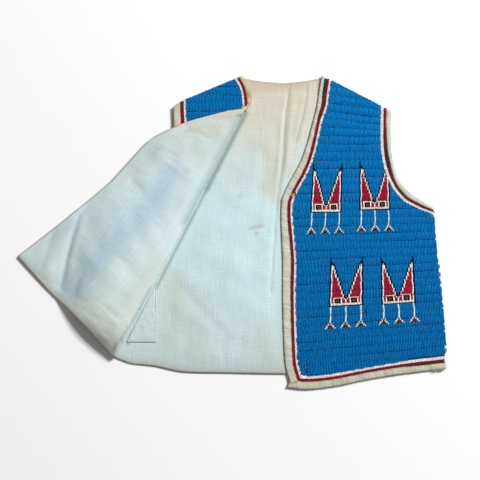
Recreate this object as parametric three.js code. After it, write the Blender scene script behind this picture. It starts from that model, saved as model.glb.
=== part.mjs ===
import * as THREE from "three";

// Beaded vest lying on its back, the wearer's right front folded open. Millimetres, +Z up.
// Layout: x across the vest, y towards the neck, from the centre front at the hem.
const backThickness = 1.2;
const liningThickness = 1.1;
const layerGap = 0.3;
const hideThickness = 1.0;
const facingThickness = 1.0;
const beadThickness = 1.5;
const backLiningBase = backThickness + layerGap;
const frontBase = backLiningBase + liningThickness + layerGap;
const leftBeadBase = frontBase + hideThickness + layerGap;
const frontStack = facingThickness + hideThickness + beadThickness + 2 * layerGap;
const lanePitch = 13.06;
const firstLaneLine = 3.1;
const laneGroove = 0.9;
const sideScallop = 1.1;

// Edge finish widths, measured inwards from the cut edge of a front.
const bindingWrap = 1.3;
const borderRows = {
  front: { binding: 11, maroon: 15, white: 18.3, field: 18.6 },
  armhole: { binding: 6.8, maroon: 10.4, white: 13.8, field: 14.1 },
  yokeArmhole: { binding: 13.2, maroon: 19.2, white: 24.4, field: 24.7 },
  yokeNeck: { binding: 7.2, maroon: 11.4, white: 14.6, field: 14.9 },
};
// The front's binding is narrower beside the neck.
const neckNarrowing = { width: 5, fromY: 320, toY: 392 };

// The left front's cut edge, from the shoulder at the neck to the hem and up the side.
const neckline = [
  { x: 64, y: 478 },
  { x: 60.6, y: 458 },
  { x: 56.6, y: 430.6 },
  { x: 49.4, y: 402 },
  { x: 40.3, y: 368 },
  { x: 29.4, y: 338.7 },
  { x: 9.3, y: 302 },
  { x: 0, y: 280 },
];
const centreFront = [
  { x: 0, y: 280 },
  { x: -0.8, y: 247 },
  { x: 1.8, y: 184 },
  { x: 1.8, y: 120 },
  { x: 5.1, y: 27 },
  { x: 10.4, y: -17.6 },
];
const frontHem = [
  { x: 10.4, y: -17.6 },
  { x: 42.7, y: -21 },
  { x: 88.6, y: -15.5 },
  { x: 132.8, y: -6.2 },
  { x: 180.5, y: 1.9 },
  { x: 217, y: 6.6 },
  { x: 260, y: 12 },
];
const sideSeam = [
  { x: 260, y: 12 },
  { x: 261.3, y: 51 },
  { x: 259.5, y: 78 },
  { x: 255.8, y: 124 },
  { x: 252.2, y: 155 },
  { x: 245.8, y: 216 },
  { x: 242.4, y: 265.6 },
];
const armhole = [
  { x: 242.4, y: 265.6 },
  { x: 222.9, y: 276.8 },
  { x: 203, y: 290.6 },
  { x: 184.6, y: 312 },
  { x: 173.9, y: 350 },
  { x: 171.7, y: 396 },
  { x: 172.5, y: 423 },
];
const neckAtShoulder = { x: 64, y: 478 };
const shoulderTip = { x: 172.5, y: 423 };

// The right front's shoulder as it lies, from the neck to the armhole.
const yokeShoulder = [
  { x: -65.6, y: 477.5 },
  { x: -157, y: 439.5 },
  { x: -170, y: 432 },
  { x: -175.5, y: 426.5 },
];

// The right front's neckline as it lies, from the shoulder to where the fold starts.
const yokeNeckline = [
  { x: -65.6, y: 477.5 },
  { x: -59.2, y: 467.5 },
  { x: -52.8, y: 456 },
  { x: -49.6, y: 444.8 },
  { x: -51.2, y: 435.2 },
];

// The back's hem and neck.
const backHem = [
  { x: -267, y: 27.6 },
  { x: -252.3, y: 21.8 },
  { x: -238.6, y: 17.6 },
  { x: -201.6, y: 13.4 },
  { x: -156.8, y: 4.3 },
  { x: -89.6, y: 2.6 },
  { x: 4.8, y: 1 },
  { x: 140, y: 3 },
  { x: 258, y: 13.5 },
];
const backTop = [
  { x: -171, y: 423 },
  { x: -157, y: 436 },
  { x: -64.3, y: 475.5 },
  { x: -46.4, y: 471 },
  { x: -19.2, y: 468.6 },
  { x: 4.8, y: 466.8 },
  { x: 36.2, y: 470 },
  { x: 63.8, y: 475.5 },
  { x: 171, y: 423 },
];

// The fold: a straight line from the neckline to the side of the hem.
const foldStart = { x: -56, y: 428.8 };
const foldAlong = { x: -0.4632, y: -0.8863 };
const foldAcross = { x: -0.8863, y: 0.4632 };
const curlStart = 20;
// The flap's free edge, the height of its crest, and where it comes down on the floor.
const flapEdge = [
  { along: 0, across: 4 },
  { along: 20, across: 24 },
  { along: 65.9, across: 74.6 },
  { along: 117.3, across: 113.8 },
  { along: 205, across: 136.5 },
  { along: 295, across: 175 },
  { along: 380.8, across: 214.2 },
  { along: 410, across: 135.7 },
  { along: 416, across: 105.9 },
  { along: 428, across: 64.8 },
  { along: 443.5, across: 24.3 },
  { along: 452, across: 1.5 },
];
const flapCrest = [
  { along: 0, height: 11.9 },
  { along: 120, height: 12.8 },
  { along: 208, height: 15.5 },
  { along: 320, height: 23 },
  { along: 400, height: 28 },
  { along: 428, height: 25 },
  { along: 443, height: 15 },
  { along: 452, height: 9 },
];
const flapFloor = [
  { along: 0, across: 150 },
  { along: 117, across: 127 },
  { along: 205, across: 150 },
  { along: 266, across: 155 },
  { along: 328, across: 147 },
  { along: 382, across: 131 },
  { along: 405, across: 126 },
  { along: 452, across: 120 },
];
const flapRipples = [
  { rise: 2.6, across: 161, width: 14, from: 250, to: 400 },
  { rise: -1.6, across: 106, width: 9, from: 350, to: 425 },
  { rise: 1.4, across: 88, width: 13, from: 90, to: 210 },
];

// Long creases in the back's lining, as soft valleys between raised cloth.
const liningRise = 2.4;
const liningCreases = [
  { topX: 15, bottomX: -18, highY: 470, lowY: 120, width: 5, depth: 1 },
  { topX: 41, bottomX: 20, highY: 472, lowY: 300, width: 6, depth: 0.7 },
  { topX: -30, bottomX: -62, highY: 400, lowY: 60, width: 14, depth: 0.55 },
  { topX: -100, bottomX: -104, highY: 215, lowY: 20, width: 12, depth: 0.6 },
];
// The back reaches out to the fold's end at the bottom of the side seam.
const cornerFlare = 7.2;

const leather = { color: 0xcfa063, roughness: 0.9, metalness: 0 };
const muslin = { color: 0xc9dbd9, roughness: 0.95, metalness: 0 };
const bindingCloth = { color: 0xc4c0ab, roughness: 0.95, metalness: 0 };
const blueBeads = { color: 0x03619c, roughness: 0.3, metalness: 0 };
const maroonBeads = { color: 0x6e1c2c, roughness: 0.3, metalness: 0 };
const whiteBeads = { color: 0xf4ece0, roughness: 0.3, metalness: 0 };

const vest = new THREE.Group();
vest.name = "beaded_vest";

const lerp = THREE.MathUtils.lerp;
const clamp = THREE.MathUtils.clamp;
const smooth = THREE.MathUtils.smoothstep;

// The value of one column of a table where another column reaches a given figure.
function lookUp(rows, key, value, column) {
  const rising = rows[rows.length - 1][key] > rows[0][key];
  const sorted = rising ? rows : [...rows].reverse();
  if (value <= sorted[0][key]) return sorted[0][column];
  for (let i = 1; i < sorted.length; i += 1) {
    const low = sorted[i - 1];
    const high = sorted[i];
    if (value <= high[key]) {
      const share = (value - low[key]) / Math.max(high[key] - low[key], 1e-6);
      return lerp(low[column], high[column], share);
    }
  }
  return sorted[sorted.length - 1][column];
}

// A table's points with a smooth curve through them.
function curved(points, pieces) {
  const curve = new THREE.SplineCurve(points.map((p) => new THREE.Vector2(p.x, p.y)));
  return curve.getSpacedPoints(pieces).map((p) => ({ x: p.x, y: p.y }));
}

function joined(...runs) {
  return runs.flatMap((run, i) => (i ? run.slice(1) : run));
}

function mirrored(points) {
  return points.map((p) => ({ x: -p.x, y: p.y }));
}

// A path moved sideways by a distance, or by one worked out at each point, with its corners
// mitred. The left of the path is positive.
function moved(path, distance) {
  const distanceAt = typeof distance === "function" ? distance : () => distance;
  return path.map((p, i) => {
    const before = path[Math.max(i - 1, 0)];
    const after = path[Math.min(i + 1, path.length - 1)];
    const inTurn = new THREE.Vector2(p.x - before.x, p.y - before.y).normalize();
    const outTurn = new THREE.Vector2(after.x - p.x, after.y - p.y).normalize();
    if (i === 0) inTurn.copy(outTurn);
    if (i === path.length - 1) outTurn.copy(inTurn);
    const mean = inTurn.clone().add(outTurn).normalize();
    const stretch = 1 / Math.max(Math.sqrt((1 + inTurn.dot(outTurn)) / 2), 0.5);
    const reach = distanceAt(p) * stretch;
    return { x: p.x - mean.y * reach, y: p.y + mean.x * reach };
  });
}

function addMesh(name, positions, triangles, finish) {
  const geometry = new THREE.BufferGeometry();
  geometry.setAttribute("position", new THREE.Float32BufferAttribute(positions, 3));
  geometry.setIndex(triangles);
  geometry.computeVertexNormals();
  const mesh = new THREE.Mesh(geometry, new THREE.MeshStandardMaterial(finish));
  mesh.name = name;
  vest.add(mesh);
}

// Turns the faces round where they enclose a negative volume.
function facingOut(positions, triangles) {
  const a = new THREE.Vector3();
  const b = new THREE.Vector3();
  const c = new THREE.Vector3();
  let volume = 0;
  for (let i = 0; i < triangles.length; i += 3) {
    a.fromArray(positions, triangles[i] * 3);
    b.fromArray(positions, triangles[i + 1] * 3);
    c.fromArray(positions, triangles[i + 2] * 3);
    volume += a.dot(b.cross(c));
  }
  return volume > 0 ? triangles : [...triangles].reverse();
}

// A wall between two faces, each a grid of rows and columns.
function addWall(name, rows, columns, outer, inner, finish) {
  const positions = [];
  for (const face of [outer, inner]) {
    for (let i = 0; i <= rows; i += 1) {
      for (let j = 0; j <= columns; j += 1) positions.push(...face(i, j));
    }
  }
  const triangles = [];
  const innerStart = (rows + 1) * (columns + 1);
  const at = (i, j) => i * (columns + 1) + j;
  for (let i = 0; i < rows; i += 1) {
    for (let j = 0; j < columns; j += 1) {
      const corners = [at(i, j), at(i, j + 1), at(i + 1, j + 1), at(i + 1, j)];
      const [a, b, c, d] = corners;
      triangles.push(a, b, c, a, c, d);
      const [e, f, g, h] = corners.map((k) => k + innerStart);
      triangles.push(e, g, f, e, h, g);
    }
  }
  const rim = [];
  for (let j = 0; j < columns; j += 1) rim.push(at(0, j));
  for (let i = 0; i < rows; i += 1) rim.push(at(i, columns));
  for (let j = columns; j > 0; j -= 1) rim.push(at(rows, j));
  for (let i = rows; i > 0; i -= 1) rim.push(at(i, 0));
  rim.forEach((p, k) => {
    const next = rim[(k + 1) % rim.length];
    triangles.push(next, p, p + innerStart);
    triangles.push(next, p + innerStart, next + innerStart);
  });
  addMesh(name, positions, facingOut(positions, triangles), finish);
}

// How far the front's border lies nearer to the edge at a point, growing towards the neck.
function narrowing(p) {
  return neckNarrowing.width * smooth(p.y, neckNarrowing.fromY, neckNarrowing.toY);
}

// A strip with the same closed section all along a path.
function addStrip(name, path, section, finish) {
  const nearNeck = path === frontEdge ? narrowing : () => 0;
  const rails = section.map((corner) => {
    const share = clamp(corner.inward / borderRows.front.binding, 0, 1);
    return moved(path, (p) => corner.inward - share * nearNeck(p));
  });
  const positions = [];
  path.forEach((_, i) => {
    rails.forEach((rail, k) => positions.push(rail[i].x, rail[i].y, section[k].z));
  });
  const sides = section.length;
  const triangles = [];
  for (let i = 0; i < path.length - 1; i += 1) {
    for (let k = 0; k < sides; k += 1) {
      const near = i * sides;
      const far = near + sides;
      const next = (k + 1) % sides;
      triangles.push(near + k, near + next, far + next, near + k, far + next, far + k);
    }
  }
  const ends = THREE.ShapeUtils.triangulateShape(
    section.map((corner) => new THREE.Vector2(corner.inward, corner.z)),
    [],
  );
  const last = (path.length - 1) * sides;
  const forward = THREE.ShapeUtils.isClockWise(
    section.map((corner) => new THREE.Vector2(corner.inward, corner.z)),
  );
  ends.forEach(([p, q, r]) => {
    const startFace = forward ? [p, q, r] : [p, r, q];
    triangles.push(...startFace);
    triangles.push(...startFace.map((k) => k + last).reverse());
  });
  addMesh(name, positions, facingOut(positions, triangles), finish);
}

// A crowned row of beads between two distances from the edge.
function rowSection(from, to, base, height) {
  const width = to - from;
  return [
    { inward: from, z: base },
    { inward: to, z: base },
    { inward: to, z: base + height * 0.45 },
    { inward: to - width * 0.28, z: base + height },
    { inward: from + width * 0.28, z: base + height },
    { inward: from, z: base + height * 0.45 },
  ];
}

// A binding that lies on the panel and turns down round its edge.
function bindingSection(width, base, height, foot) {
  return [
    { inward: -0.5, z: foot },
    { inward: -0.5, z: base },
    { inward: width, z: base },
    { inward: width - 0.6, z: base + height * 0.8 },
    { inward: width * 0.45, z: base + height },
    { inward: 0.4, z: base + height * 0.85 },
    { inward: -bindingWrap, z: base - 0.2 },
    { inward: -bindingWrap + 0.2, z: foot },
  ];
}

// Left front: the cut edge as one path, and its two sides as tables of x by y.
const frontEdge = joined(
  curved(neckline, 11),
  curved(centreFront, 8),
  curved(frontHem, 8),
);
const armholeEdge = curved(armhole, 10);
const sideEdge = curved(sideSeam, 6);

function splitAtLowest(path) {
  const lowest = path.reduce((best, p, i) => (p.y < path[best].y ? i : best), 0);
  return { down: path.slice(0, lowest + 1), up: path.slice(lowest) };
}

function frontSides(frontInset, armholeInset) {
  const front = splitAtLowest(
    moved(frontEdge, (p) => (frontInset ? frontInset - narrowing(p) : 0)),
  );
  const arm = moved(armholeEdge, armholeInset);
  const side = sideEdge.filter((p) => {
    const aboveHem = p.y > front.up[front.up.length - 1].y + 1;
    return aboveHem && p.y < arm[0].y - 1;
  });
  const shoulderEnd = shoulderAt(arm[arm.length - 1].x);
  const armClear = arm.filter((p) => p.y < shoulderEnd.y - 2);
  const right = [...front.up, ...side, ...armClear, shoulderEnd, neckAtShoulder];
  return { left: front.down, right: rising(right) };
}

function shoulderAt(x) {
  const share = (x - neckAtShoulder.x) / (shoulderTip.x - neckAtShoulder.x);
  return { x, y: lerp(neckAtShoulder.y, shoulderTip.y, share) };
}

// Keeps only the points that climb, so that each y has one x.
function rising(points) {
  const kept = [points[0]];
  points.slice(1).forEach((p) => {
    if (p.y > kept[kept.length - 1].y + 0.05) kept.push(p);
  });
  return kept;
}

function addRowPanel(name, sides, levels, columns, top, bottom, finish) {
  const place = (i, j, height) => {
    const y = levels[i];
    const left = lookUp(sides.left, "y", y, "x");
    const right = lookUp(sides.right, "y", y, "x");
    const x = lerp(left, right, j / columns);
    return [x, y, height(x, y)];
  };
  addWall(
    name,
    levels.length - 1,
    columns,
    (i, j) => place(i, j, top),
    (i, j) => place(i, j, bottom),
    finish,
  );
}

const hideSides = frontSides(0, 0);
const hideLevels = [...hideSides.left, ...hideSides.right]
  .map((p) => p.y)
  .sort((a, b) => a - b)
  .filter((y, i, all) => i === 0 || y - all[i - 1] > 2.5)
  .filter((y) => y < neckAtShoulder.y - 2);
addRowPanel(
  "left_front",
  hideSides,
  [...hideLevels, neckAtShoulder.y - 1],
  4,
  () => frontBase + hideThickness,
  () => frontBase,
  leather,
);

// Lanes of beads run across the front: a crest between two grooves where they are sewn down.
function laneHeight(y, crest) {
  const share = (((y - firstLaneLine) % lanePitch) + lanePitch) % lanePitch / lanePitch;
  const rise = Math.sin(Math.PI * share) ** 0.5;
  return crest - laneGroove * (1 - rise);
}

function laneLevels(low, high) {
  const levels = [low];
  const first = Math.floor((low - firstLaneLine) / lanePitch);
  const last = Math.ceil((high - firstLaneLine) / lanePitch);
  for (let lane = first; lane < last; lane += 1) {
    for (const share of [0, 0.26, 0.74]) {
      const y = firstLaneLine + (lane + share) * lanePitch;
      if (y > low + 1.5 && y < high - 1.5) levels.push(y);
    }
  }
  return [...levels, high];
}

const beadTop = leftBeadBase + beadThickness;
const fieldSides = frontSides(borderRows.front.field, borderRows.armhole.field);
const fieldLow = Math.max(fieldSides.left[fieldSides.left.length - 1].y, fieldSides.right[0].y) + 1;
const fieldHigh = 465;
const scallopLow = 32;
const scallopHigh = 250;
const scalloped = {
  left: fieldSides.left,
  right: laneLevels(fieldLow, fieldHigh).map((y) => {
    const onSide = y > scallopLow && y < scallopHigh;
    const bulge = onSide ? sideScallop * (laneHeight(y, 1) - 1 + laneGroove) : 0;
    return { x: lookUp(fieldSides.right, "y", y, "x") + bulge, y };
  }),
};
addRowPanel(
  "left_front_beadwork",
  scalloped,
  laneLevels(fieldLow, fieldHigh),
  4,
  (x, y) => laneHeight(y, beadTop),
  () => leftBeadBase,
  blueBeads,
);

// The left front's border rows and bindings.
const rowsOnFront = borderRows.front;
const borderHeight = beadThickness - 0.1;
addStrip(
  "left_front_binding",
  frontEdge,
  bindingSection(rowsOnFront.binding, leftBeadBase, 1.5, frontBase),
  bindingCloth,
);
addStrip(
  "left_front_maroon_row",
  frontEdge,
  rowSection(rowsOnFront.binding + layerGap, rowsOnFront.maroon, leftBeadBase, borderHeight),
  maroonBeads,
);
addStrip(
  "left_front_white_row",
  frontEdge,
  rowSection(rowsOnFront.maroon + layerGap, rowsOnFront.white, leftBeadBase, borderHeight),
  whiteBeads,
);
const rowsOnArmhole = borderRows.armhole;
addStrip(
  "left_armhole_binding",
  armholeEdge,
  bindingSection(rowsOnArmhole.binding, leftBeadBase, 1.5, frontBase),
  bindingCloth,
);
addStrip(
  "left_armhole_maroon_row",
  armholeEdge,
  rowSection(rowsOnArmhole.binding + layerGap, rowsOnArmhole.maroon, leftBeadBase, borderHeight),
  maroonBeads,
);
addStrip(
  "left_armhole_white_row",
  armholeEdge,
  rowSection(rowsOnArmhole.maroon + layerGap, rowsOnArmhole.white, leftBeadBase, borderHeight),
  whiteBeads,
);

// The fold's own directions: along it from the neck down, and across it towards the flap.
function toFold(p) {
  const dx = p.x - foldStart.x;
  const dy = p.y - foldStart.y;
  return {
    along: dx * foldAlong.x + dy * foldAlong.y,
    across: dx * foldAcross.x + dy * foldAcross.y,
  };
}

function fromFold(along, across) {
  return {
    x: foldStart.x + along * foldAlong.x + across * foldAcross.x,
    y: foldStart.y + along * foldAlong.y + across * foldAcross.y,
  };
}

const orderedLower = [
  ...yokeShoulder,
  ...mirrored([...armholeEdge].reverse()),
  ...mirrored([...sideEdge].reverse().slice(1)),
]
  .map(toFold)
  .sort((a, b) => a.along - b.along);
const neckFold = curved(yokeNeckline, 8)
  .map(toFold)
  .concat({ along: 0, across: 1 });

const shortestLeg = 2.5;
function foldAt(along) {
  const crest = lookUp(flapCrest, "along", along, "height");
  const radius = (crest - frontBase) / 2;
  const lower = Math.max(lookUp(orderedLower, "along", along, "across"), shortestLeg);
  const leg = Math.max(lower - radius, 0);
  const startTurn = lower < radius ? Math.asin((radius - lower) / radius) : 0;
  const roll = (Math.PI - startTurn) * radius;
  return { along, crest, radius, lower, leg, startTurn, roll };
}

// The top of the flap: level over the lower layers, then down to the floor and flat on it.
function flapTop(fold, across) {
  const floor = lookUp(flapFloor, "along", fold.along, "across");
  const start = Math.min(Math.max(fold.lower + 5, fold.radius), floor - 30);
  const share = clamp((across - start) / (floor - start), 0, 1);
  const clear = fold.along < 70 ? 0 : smooth(fold.along, 70, 110);
  let height = lerp(fold.crest, frontStack, clear * (1 - Math.cos((Math.PI / 2) * share)));
  for (const ripple of flapRipples) {
    const within = smooth(fold.along, ripple.from, ripple.from + 40);
    const before = 1 - smooth(fold.along, ripple.to - 25, ripple.to);
    const offset = (across - ripple.across) / ripple.width;
    height += ripple.rise * within * before * Math.exp(-offset * offset);
  }
  return height;
}

// Length of a section from the lower edge round the roll to a distance across the flap.
function lengthTo(fold, across) {
  if (across >= fold.radius) return fold.leg + fold.roll + across - fold.radius;
  const turn = Math.PI - Math.asin((fold.radius - across) / fold.radius);
  return fold.leg + (turn - fold.startTurn) * fold.radius;
}

function sectionLength(along) {
  const fold = foldAt(along);
  if (along <= 0) return fold.lower - lookUp(neckFold, "along", along, "across");
  const over = lookUp(flapEdge, "along", along, "across");
  if (along >= curlStart) return lengthTo(fold, over);
  const full = foldAt(curlStart);
  const fullLength = lengthTo(full, lookUp(flapEdge, "along", curlStart, "across"));
  return fold.lower + lerp(-1, fullLength - full.lower, along / curlStart);
}

// A point of the folded front, at a length along its section and a depth under its lining side.
function foldedPoint(along, length, depth) {
  const fold = foldAt(along);
  let across = fold.lower - length;
  let height = frontBase;
  let normal = { across: 0, height: -1 };
  if (along > 0 && length > fold.leg) {
    const turn = fold.startTurn + (length - fold.leg) / fold.radius;
    if (turn < Math.PI) {
      across = fold.radius - fold.radius * Math.sin(turn);
      height = frontBase + fold.radius * (1 - Math.cos(turn));
      normal = { across: -Math.sin(turn), height: -Math.cos(turn) };
    } else {
      across = fold.radius + length - fold.leg - fold.roll;
      height = flapTop(fold, across);
      const slope = (flapTop(fold, across + 1) - flapTop(fold, across - 1)) / 2;
      const size = Math.hypot(slope, 1);
      normal = { across: -slope / size, height: 1 / size };
    }
  }
  const spot = fromFold(along, across - normal.across * depth);
  return [spot.x, spot.y, Math.max(height - normal.height * depth, 0)];
}

const legSteps = 3;
const rollSteps = 7;
const slopeSteps = 6;
const floorSteps = 4;
const sectionSteps = legSteps + rollSteps + slopeSteps + floorSteps + 1;
const bindingWidth = 11;
const innerFlapEdge = moved(
  flapEdge.map((row) => ({ x: row.along, y: row.across })),
  -bindingWidth,
).map((p) => ({ along: p.x, across: p.y }));

// Lengths of the points on one section, grouped by leg, roll, slope, floor and border.
function stepLengths(along) {
  const fold = foldAt(along);
  const whole = sectionLength(along);
  const rollStart = clamp(fold.leg, 0.1 * whole, 0.8 * whole);
  const rollEnd = clamp(fold.leg + fold.roll, lerp(rollStart, whole, 0.3), 0.9 * whole);
  const over = whole - fold.leg - fold.roll + fold.radius;
  const inset = lookUp(innerFlapEdge, "along", along, "across");
  const border = clamp(over - inset, 0.08 * (whole - rollEnd), 0.4 * (whole - rollEnd));
  const borderAt = whole - border;
  const floor = Math.min(lookUp(flapFloor, "along", along, "across"), over * 0.82);
  const bend = fold.leg + fold.roll + floor - fold.radius;
  const bendAt = clamp(bend, lerp(rollEnd, borderAt, 0.5), lerp(rollEnd, borderAt, 0.85));
  const lengths = [];
  const fill = (start, end, steps) => {
    for (let k = 0; k < steps; k += 1) lengths.push(lerp(start, end, k / steps));
  };
  fill(0, rollStart, legSteps);
  fill(rollStart, rollEnd, rollSteps);
  fill(rollEnd, bendAt, slopeSteps);
  fill(bendAt, borderAt, floorSteps);
  return [...lengths, borderAt, whole];
}

const foldRows = [
  -34, -26, -17, -8, 0, 4, 8, 12, 16, 20, 34, 50, 66, 90, 117, 145, 175, 205, 231, 262, 295, 328,
  350, 366, 380.8, 395, 410, 422, 428, 436, 443.5, 451,
];
const foldLengths = foldRows.map(stepLengths);

// One layer of the folded front, between two rows and two steps of its sections.
function addFolded(name, layer) {
  const { firstRow, lastRow, firstStep, lastStep, depthOut, depthIn, finish } = layer;
  const trim = layer.trim ?? 0;
  const face = (depth) => (i, j) => {
    const row = firstRow + i;
    const step = firstStep + j;
    const nudge = j === 0 ? trim : 0;
    return foldedPoint(foldRows[row], foldLengths[row][step] + nudge, depth);
  };
  const rows = lastRow - firstRow;
  const steps = lastStep - firstStep;
  addWall(name, rows, steps, face(depthOut), face(depthIn), finish);
}

const hideDepth = facingThickness + layerGap;
const beadDepth = hideDepth + hideThickness + layerGap;
const lastFoldRow = foldRows.length - 1;
const firstCurled = foldRows.indexOf(curlStart);
const lastBeadRow = foldRows.indexOf(422);
addFolded("right_front_lining", {
  firstRow: 0,
  lastRow: lastFoldRow,
  firstStep: 0,
  lastStep: sectionSteps,
  depthOut: 0,
  depthIn: facingThickness,
  finish: muslin,
});
addFolded("right_front", {
  firstRow: 0,
  lastRow: lastFoldRow,
  firstStep: 0,
  lastStep: sectionSteps,
  depthOut: hideDepth,
  depthIn: hideDepth + hideThickness,
  finish: leather,
});
// The beaded face inside the fold, from the roll to the flap's binding.
addFolded("right_front_beadwork", {
  firstRow: firstCurled,
  lastRow: lastBeadRow,
  firstStep: legSteps,
  lastStep: sectionSteps - 1,
  depthOut: beadDepth,
  depthIn: frontStack,
  finish: blueBeads,
});
// The binding turned under the flap's free edge.
addFolded("right_front_binding", {
  firstRow: firstCurled,
  lastRow: lastBeadRow,
  firstStep: sectionSteps - 1,
  lastStep: sectionSteps,
  depthOut: beadDepth,
  depthIn: frontStack - 0.2,
  trim: layerGap + 0.1,
  finish: bindingCloth,
});

// The beaded side panel that the flap covers.
const sideStart = 98;
const sideRows = foldRows.filter((along) => along > sideStart && along < 390);
const sideAcross = (along, side) => {
  const fold = foldAt(along);
  const near = fold.radius + 5;
  const border = along < 225 ? borderRows.armhole.field : 1.5;
  return side ? near : Math.max(fold.lower - border, near + 1);
};
const sideFace = (height) => (i, j) => {
  const spot = fromFold(sideRows[i], sideAcross(sideRows[i], j));
  return [spot.x, spot.y, height];
};
const yokeBase = frontBase + beadDepth;
const yokeTop = frontBase + frontStack;
addWall(
  "right_side_beadwork",
  sideRows.length - 1,
  1,
  sideFace(yokeTop - 0.4),
  sideFace(yokeBase),
  blueBeads,
);

// The shoulder patch of beadwork that shows above the fold.
const yokeEnd = 77;
const yokeArmEdge = mirrored(armholeEdge.filter((p) => p.y > 355)).reverse();
const yokeNeckEdge = curved(yokeNeckline, 6);
const yokeNeckInset = moved(yokeNeckEdge, -borderRows.yokeNeck.field);
const yokeArmInset = moved(yokeArmEdge, borderRows.yokeArmhole.field);
const yokeFold = [8, 20, 45, yokeEnd - 1].map((along) =>
  fromFold(along, foldAt(along).radius + (along < 30 ? 8 : 3)),
);
const yokeRight = rising([...yokeNeckInset, ...yokeFold].reverse());
const yokeLowLine = [12, 40, 68, 78].map((across) => fromFold(yokeEnd - 1.5, across));
const shoulderLine = [...yokeShoulder].reverse();
function yokeLeftAt(y) {
  const onArm = lookUp([...yokeArmInset].reverse(), "y", y, "x");
  const onLow = lookUp(yokeLowLine, "y", y, "x");
  const onShoulder = y > shoulderTip.y ? lookUp(shoulderLine, "y", y, "x") + 0.5 : -1e3;
  const low = y < yokeLowLine[3].y ? onLow : -1e3;
  return Math.max(onArm, onShoulder, low);
}
const yokeLevels = laneLevels(367.5, 468);
const yokeSides = {
  left: yokeLevels.map((y) => ({ x: yokeLeftAt(y), y })),
  right: yokeRight,
};
addRowPanel(
  "right_yoke_beadwork",
  yokeSides,
  yokeLevels,
  4,
  (x, y) => laneHeight(y, yokeTop),
  () => yokeBase,
  blueBeads,
);

// Border rows and bindings of the yoke.
const onYokeArm = borderRows.yokeArmhole;
const onYokeNeck = borderRows.yokeNeck;
const yokeArmShort = [{ x: -173.5, y: 430 }, ...yokeArmEdge.filter((p) => p.y > 380)];
const inwards = (section, side) =>
  section.map((corner) => ({ inward: corner.inward * side, z: corner.z }));
const yokeRowHeight = beadThickness - 0.15;
addStrip(
  "right_armhole_binding",
  yokeArmShort,
  bindingSection(onYokeArm.binding, yokeBase, 1.3, frontBase),
  bindingCloth,
);
addStrip(
  "right_armhole_maroon_row",
  yokeArmShort,
  rowSection(onYokeArm.binding + layerGap, onYokeArm.maroon, yokeBase, yokeRowHeight),
  maroonBeads,
);
addStrip(
  "right_armhole_white_row",
  yokeArmShort,
  rowSection(onYokeArm.maroon + layerGap, onYokeArm.white, yokeBase, yokeRowHeight),
  whiteBeads,
);
addStrip(
  "right_neck_binding",
  yokeNeckEdge,
  inwards(bindingSection(onYokeNeck.binding, yokeBase, 1.3, frontBase), -1),
  bindingCloth,
);
addStrip(
  "right_neck_maroon_row",
  yokeNeckEdge,
  inwards(
    rowSection(onYokeNeck.binding + layerGap, onYokeNeck.maroon, yokeBase, yokeRowHeight),
    -1,
  ),
  maroonBeads,
);
addStrip(
  "right_neck_white_row",
  yokeNeckEdge,
  inwards(
    rowSection(onYokeNeck.maroon + layerGap, onYokeNeck.white, yokeBase, yokeRowHeight),
    -1,
  ),
  whiteBeads,
);

// The back: straight rows up to the armholes' top, then rows that rise to the neck.
const backRight = rising([{ x: 258, y: 13.5 }, ...sideEdge.slice(1), ...armholeEdge.slice(1)]);
const backLevels = [
  30, 51, 78, 110, 145, 180, 216, 240, 258, 266, 274, 284, 298, 314, 334, 360, 386, 408,
];
const backColumns = [
  0, 0.03, 0.07, 0.12, 0.18, 0.24, 0.312, 0.4, 0.445, 0.51, 0.56, 0.62, 0.687, 0.76, 0.93, 1,
];
const liningColumns = [
  0, 0.03, 0.07, 0.12, 0.18, 0.24, 0.28, 0.312, 0.36, 0.4, 0.425, 0.445, 0.46, 0.475, 0.49,
  0.505, 0.52, 0.54, 0.56, 0.585, 0.62, 0.687, 0.76, 0.93, 1,
];

// The back's rows: the hem, the levels, and two rows towards the shoulders and neck.
function backPoint(row, share, inset) {
  const level = backLevels[clamp(row - 1, 0, backLevels.length - 1)];
  const edge = lookUp(backRight, "y", level, "x") - inset;
  const flare = level === backLevels[0] ? cornerFlare : 0;
  const x = lerp(-edge - flare, edge, share);
  if (row === 0) {
    const low = backHem[0].x + inset;
    const high = backHem[backHem.length - 1].x - inset;
    const hemX = lerp(low, high, share);
    return { x: hemX, y: lookUp(backHem, "x", hemX, "y") + inset };
  }
  if (row <= backLevels.length) return { x, y: level };
  const rise = (row - backLevels.length) / 2;
  return { x, y: lerp(level, lookUp(backTop, "x", x, "y") - inset, rise) };
}

// The cloth of the lining stands up a little where nothing lies on it.
function liningHeight(x, y) {
  const foldX = fromFold(toFold({ x, y }).along, 0).x;
  const frontX = lookUp(hideSides.left, "y", Math.max(y, 0), "x");
  const besidePatch = Math.max(smooth(x, -197, -165), smooth(y, 166, 200));
  const inFromFold = smooth(x - foldX, 8, 45) * besidePatch;
  const inFromFront = smooth(frontX - x, 5, 34);
  const open = inFromFold * inFromFront * smooth(y, 6, 50) * smooth(462 - y, 0, 30);
  let rise = liningRise * 0.62;
  for (const crease of liningCreases) {
    const share = clamp((y - crease.lowY) / (crease.highY - crease.lowY), 0, 1);
    const offset = (x - lerp(crease.bottomX, crease.topX, share)) / crease.width;
    const ends = smooth(y, crease.lowY - 30, crease.lowY) * smooth(crease.highY + 30 - y, 0, 30);
    rise -= liningRise * crease.depth * 0.62 * ends * Math.exp(-offset * offset);
    rise += liningRise * 0.28 * crease.depth * ends * Math.exp(-((offset - 2) ** 2));
  }
  return open * Math.max(rise, 0);
}

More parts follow.
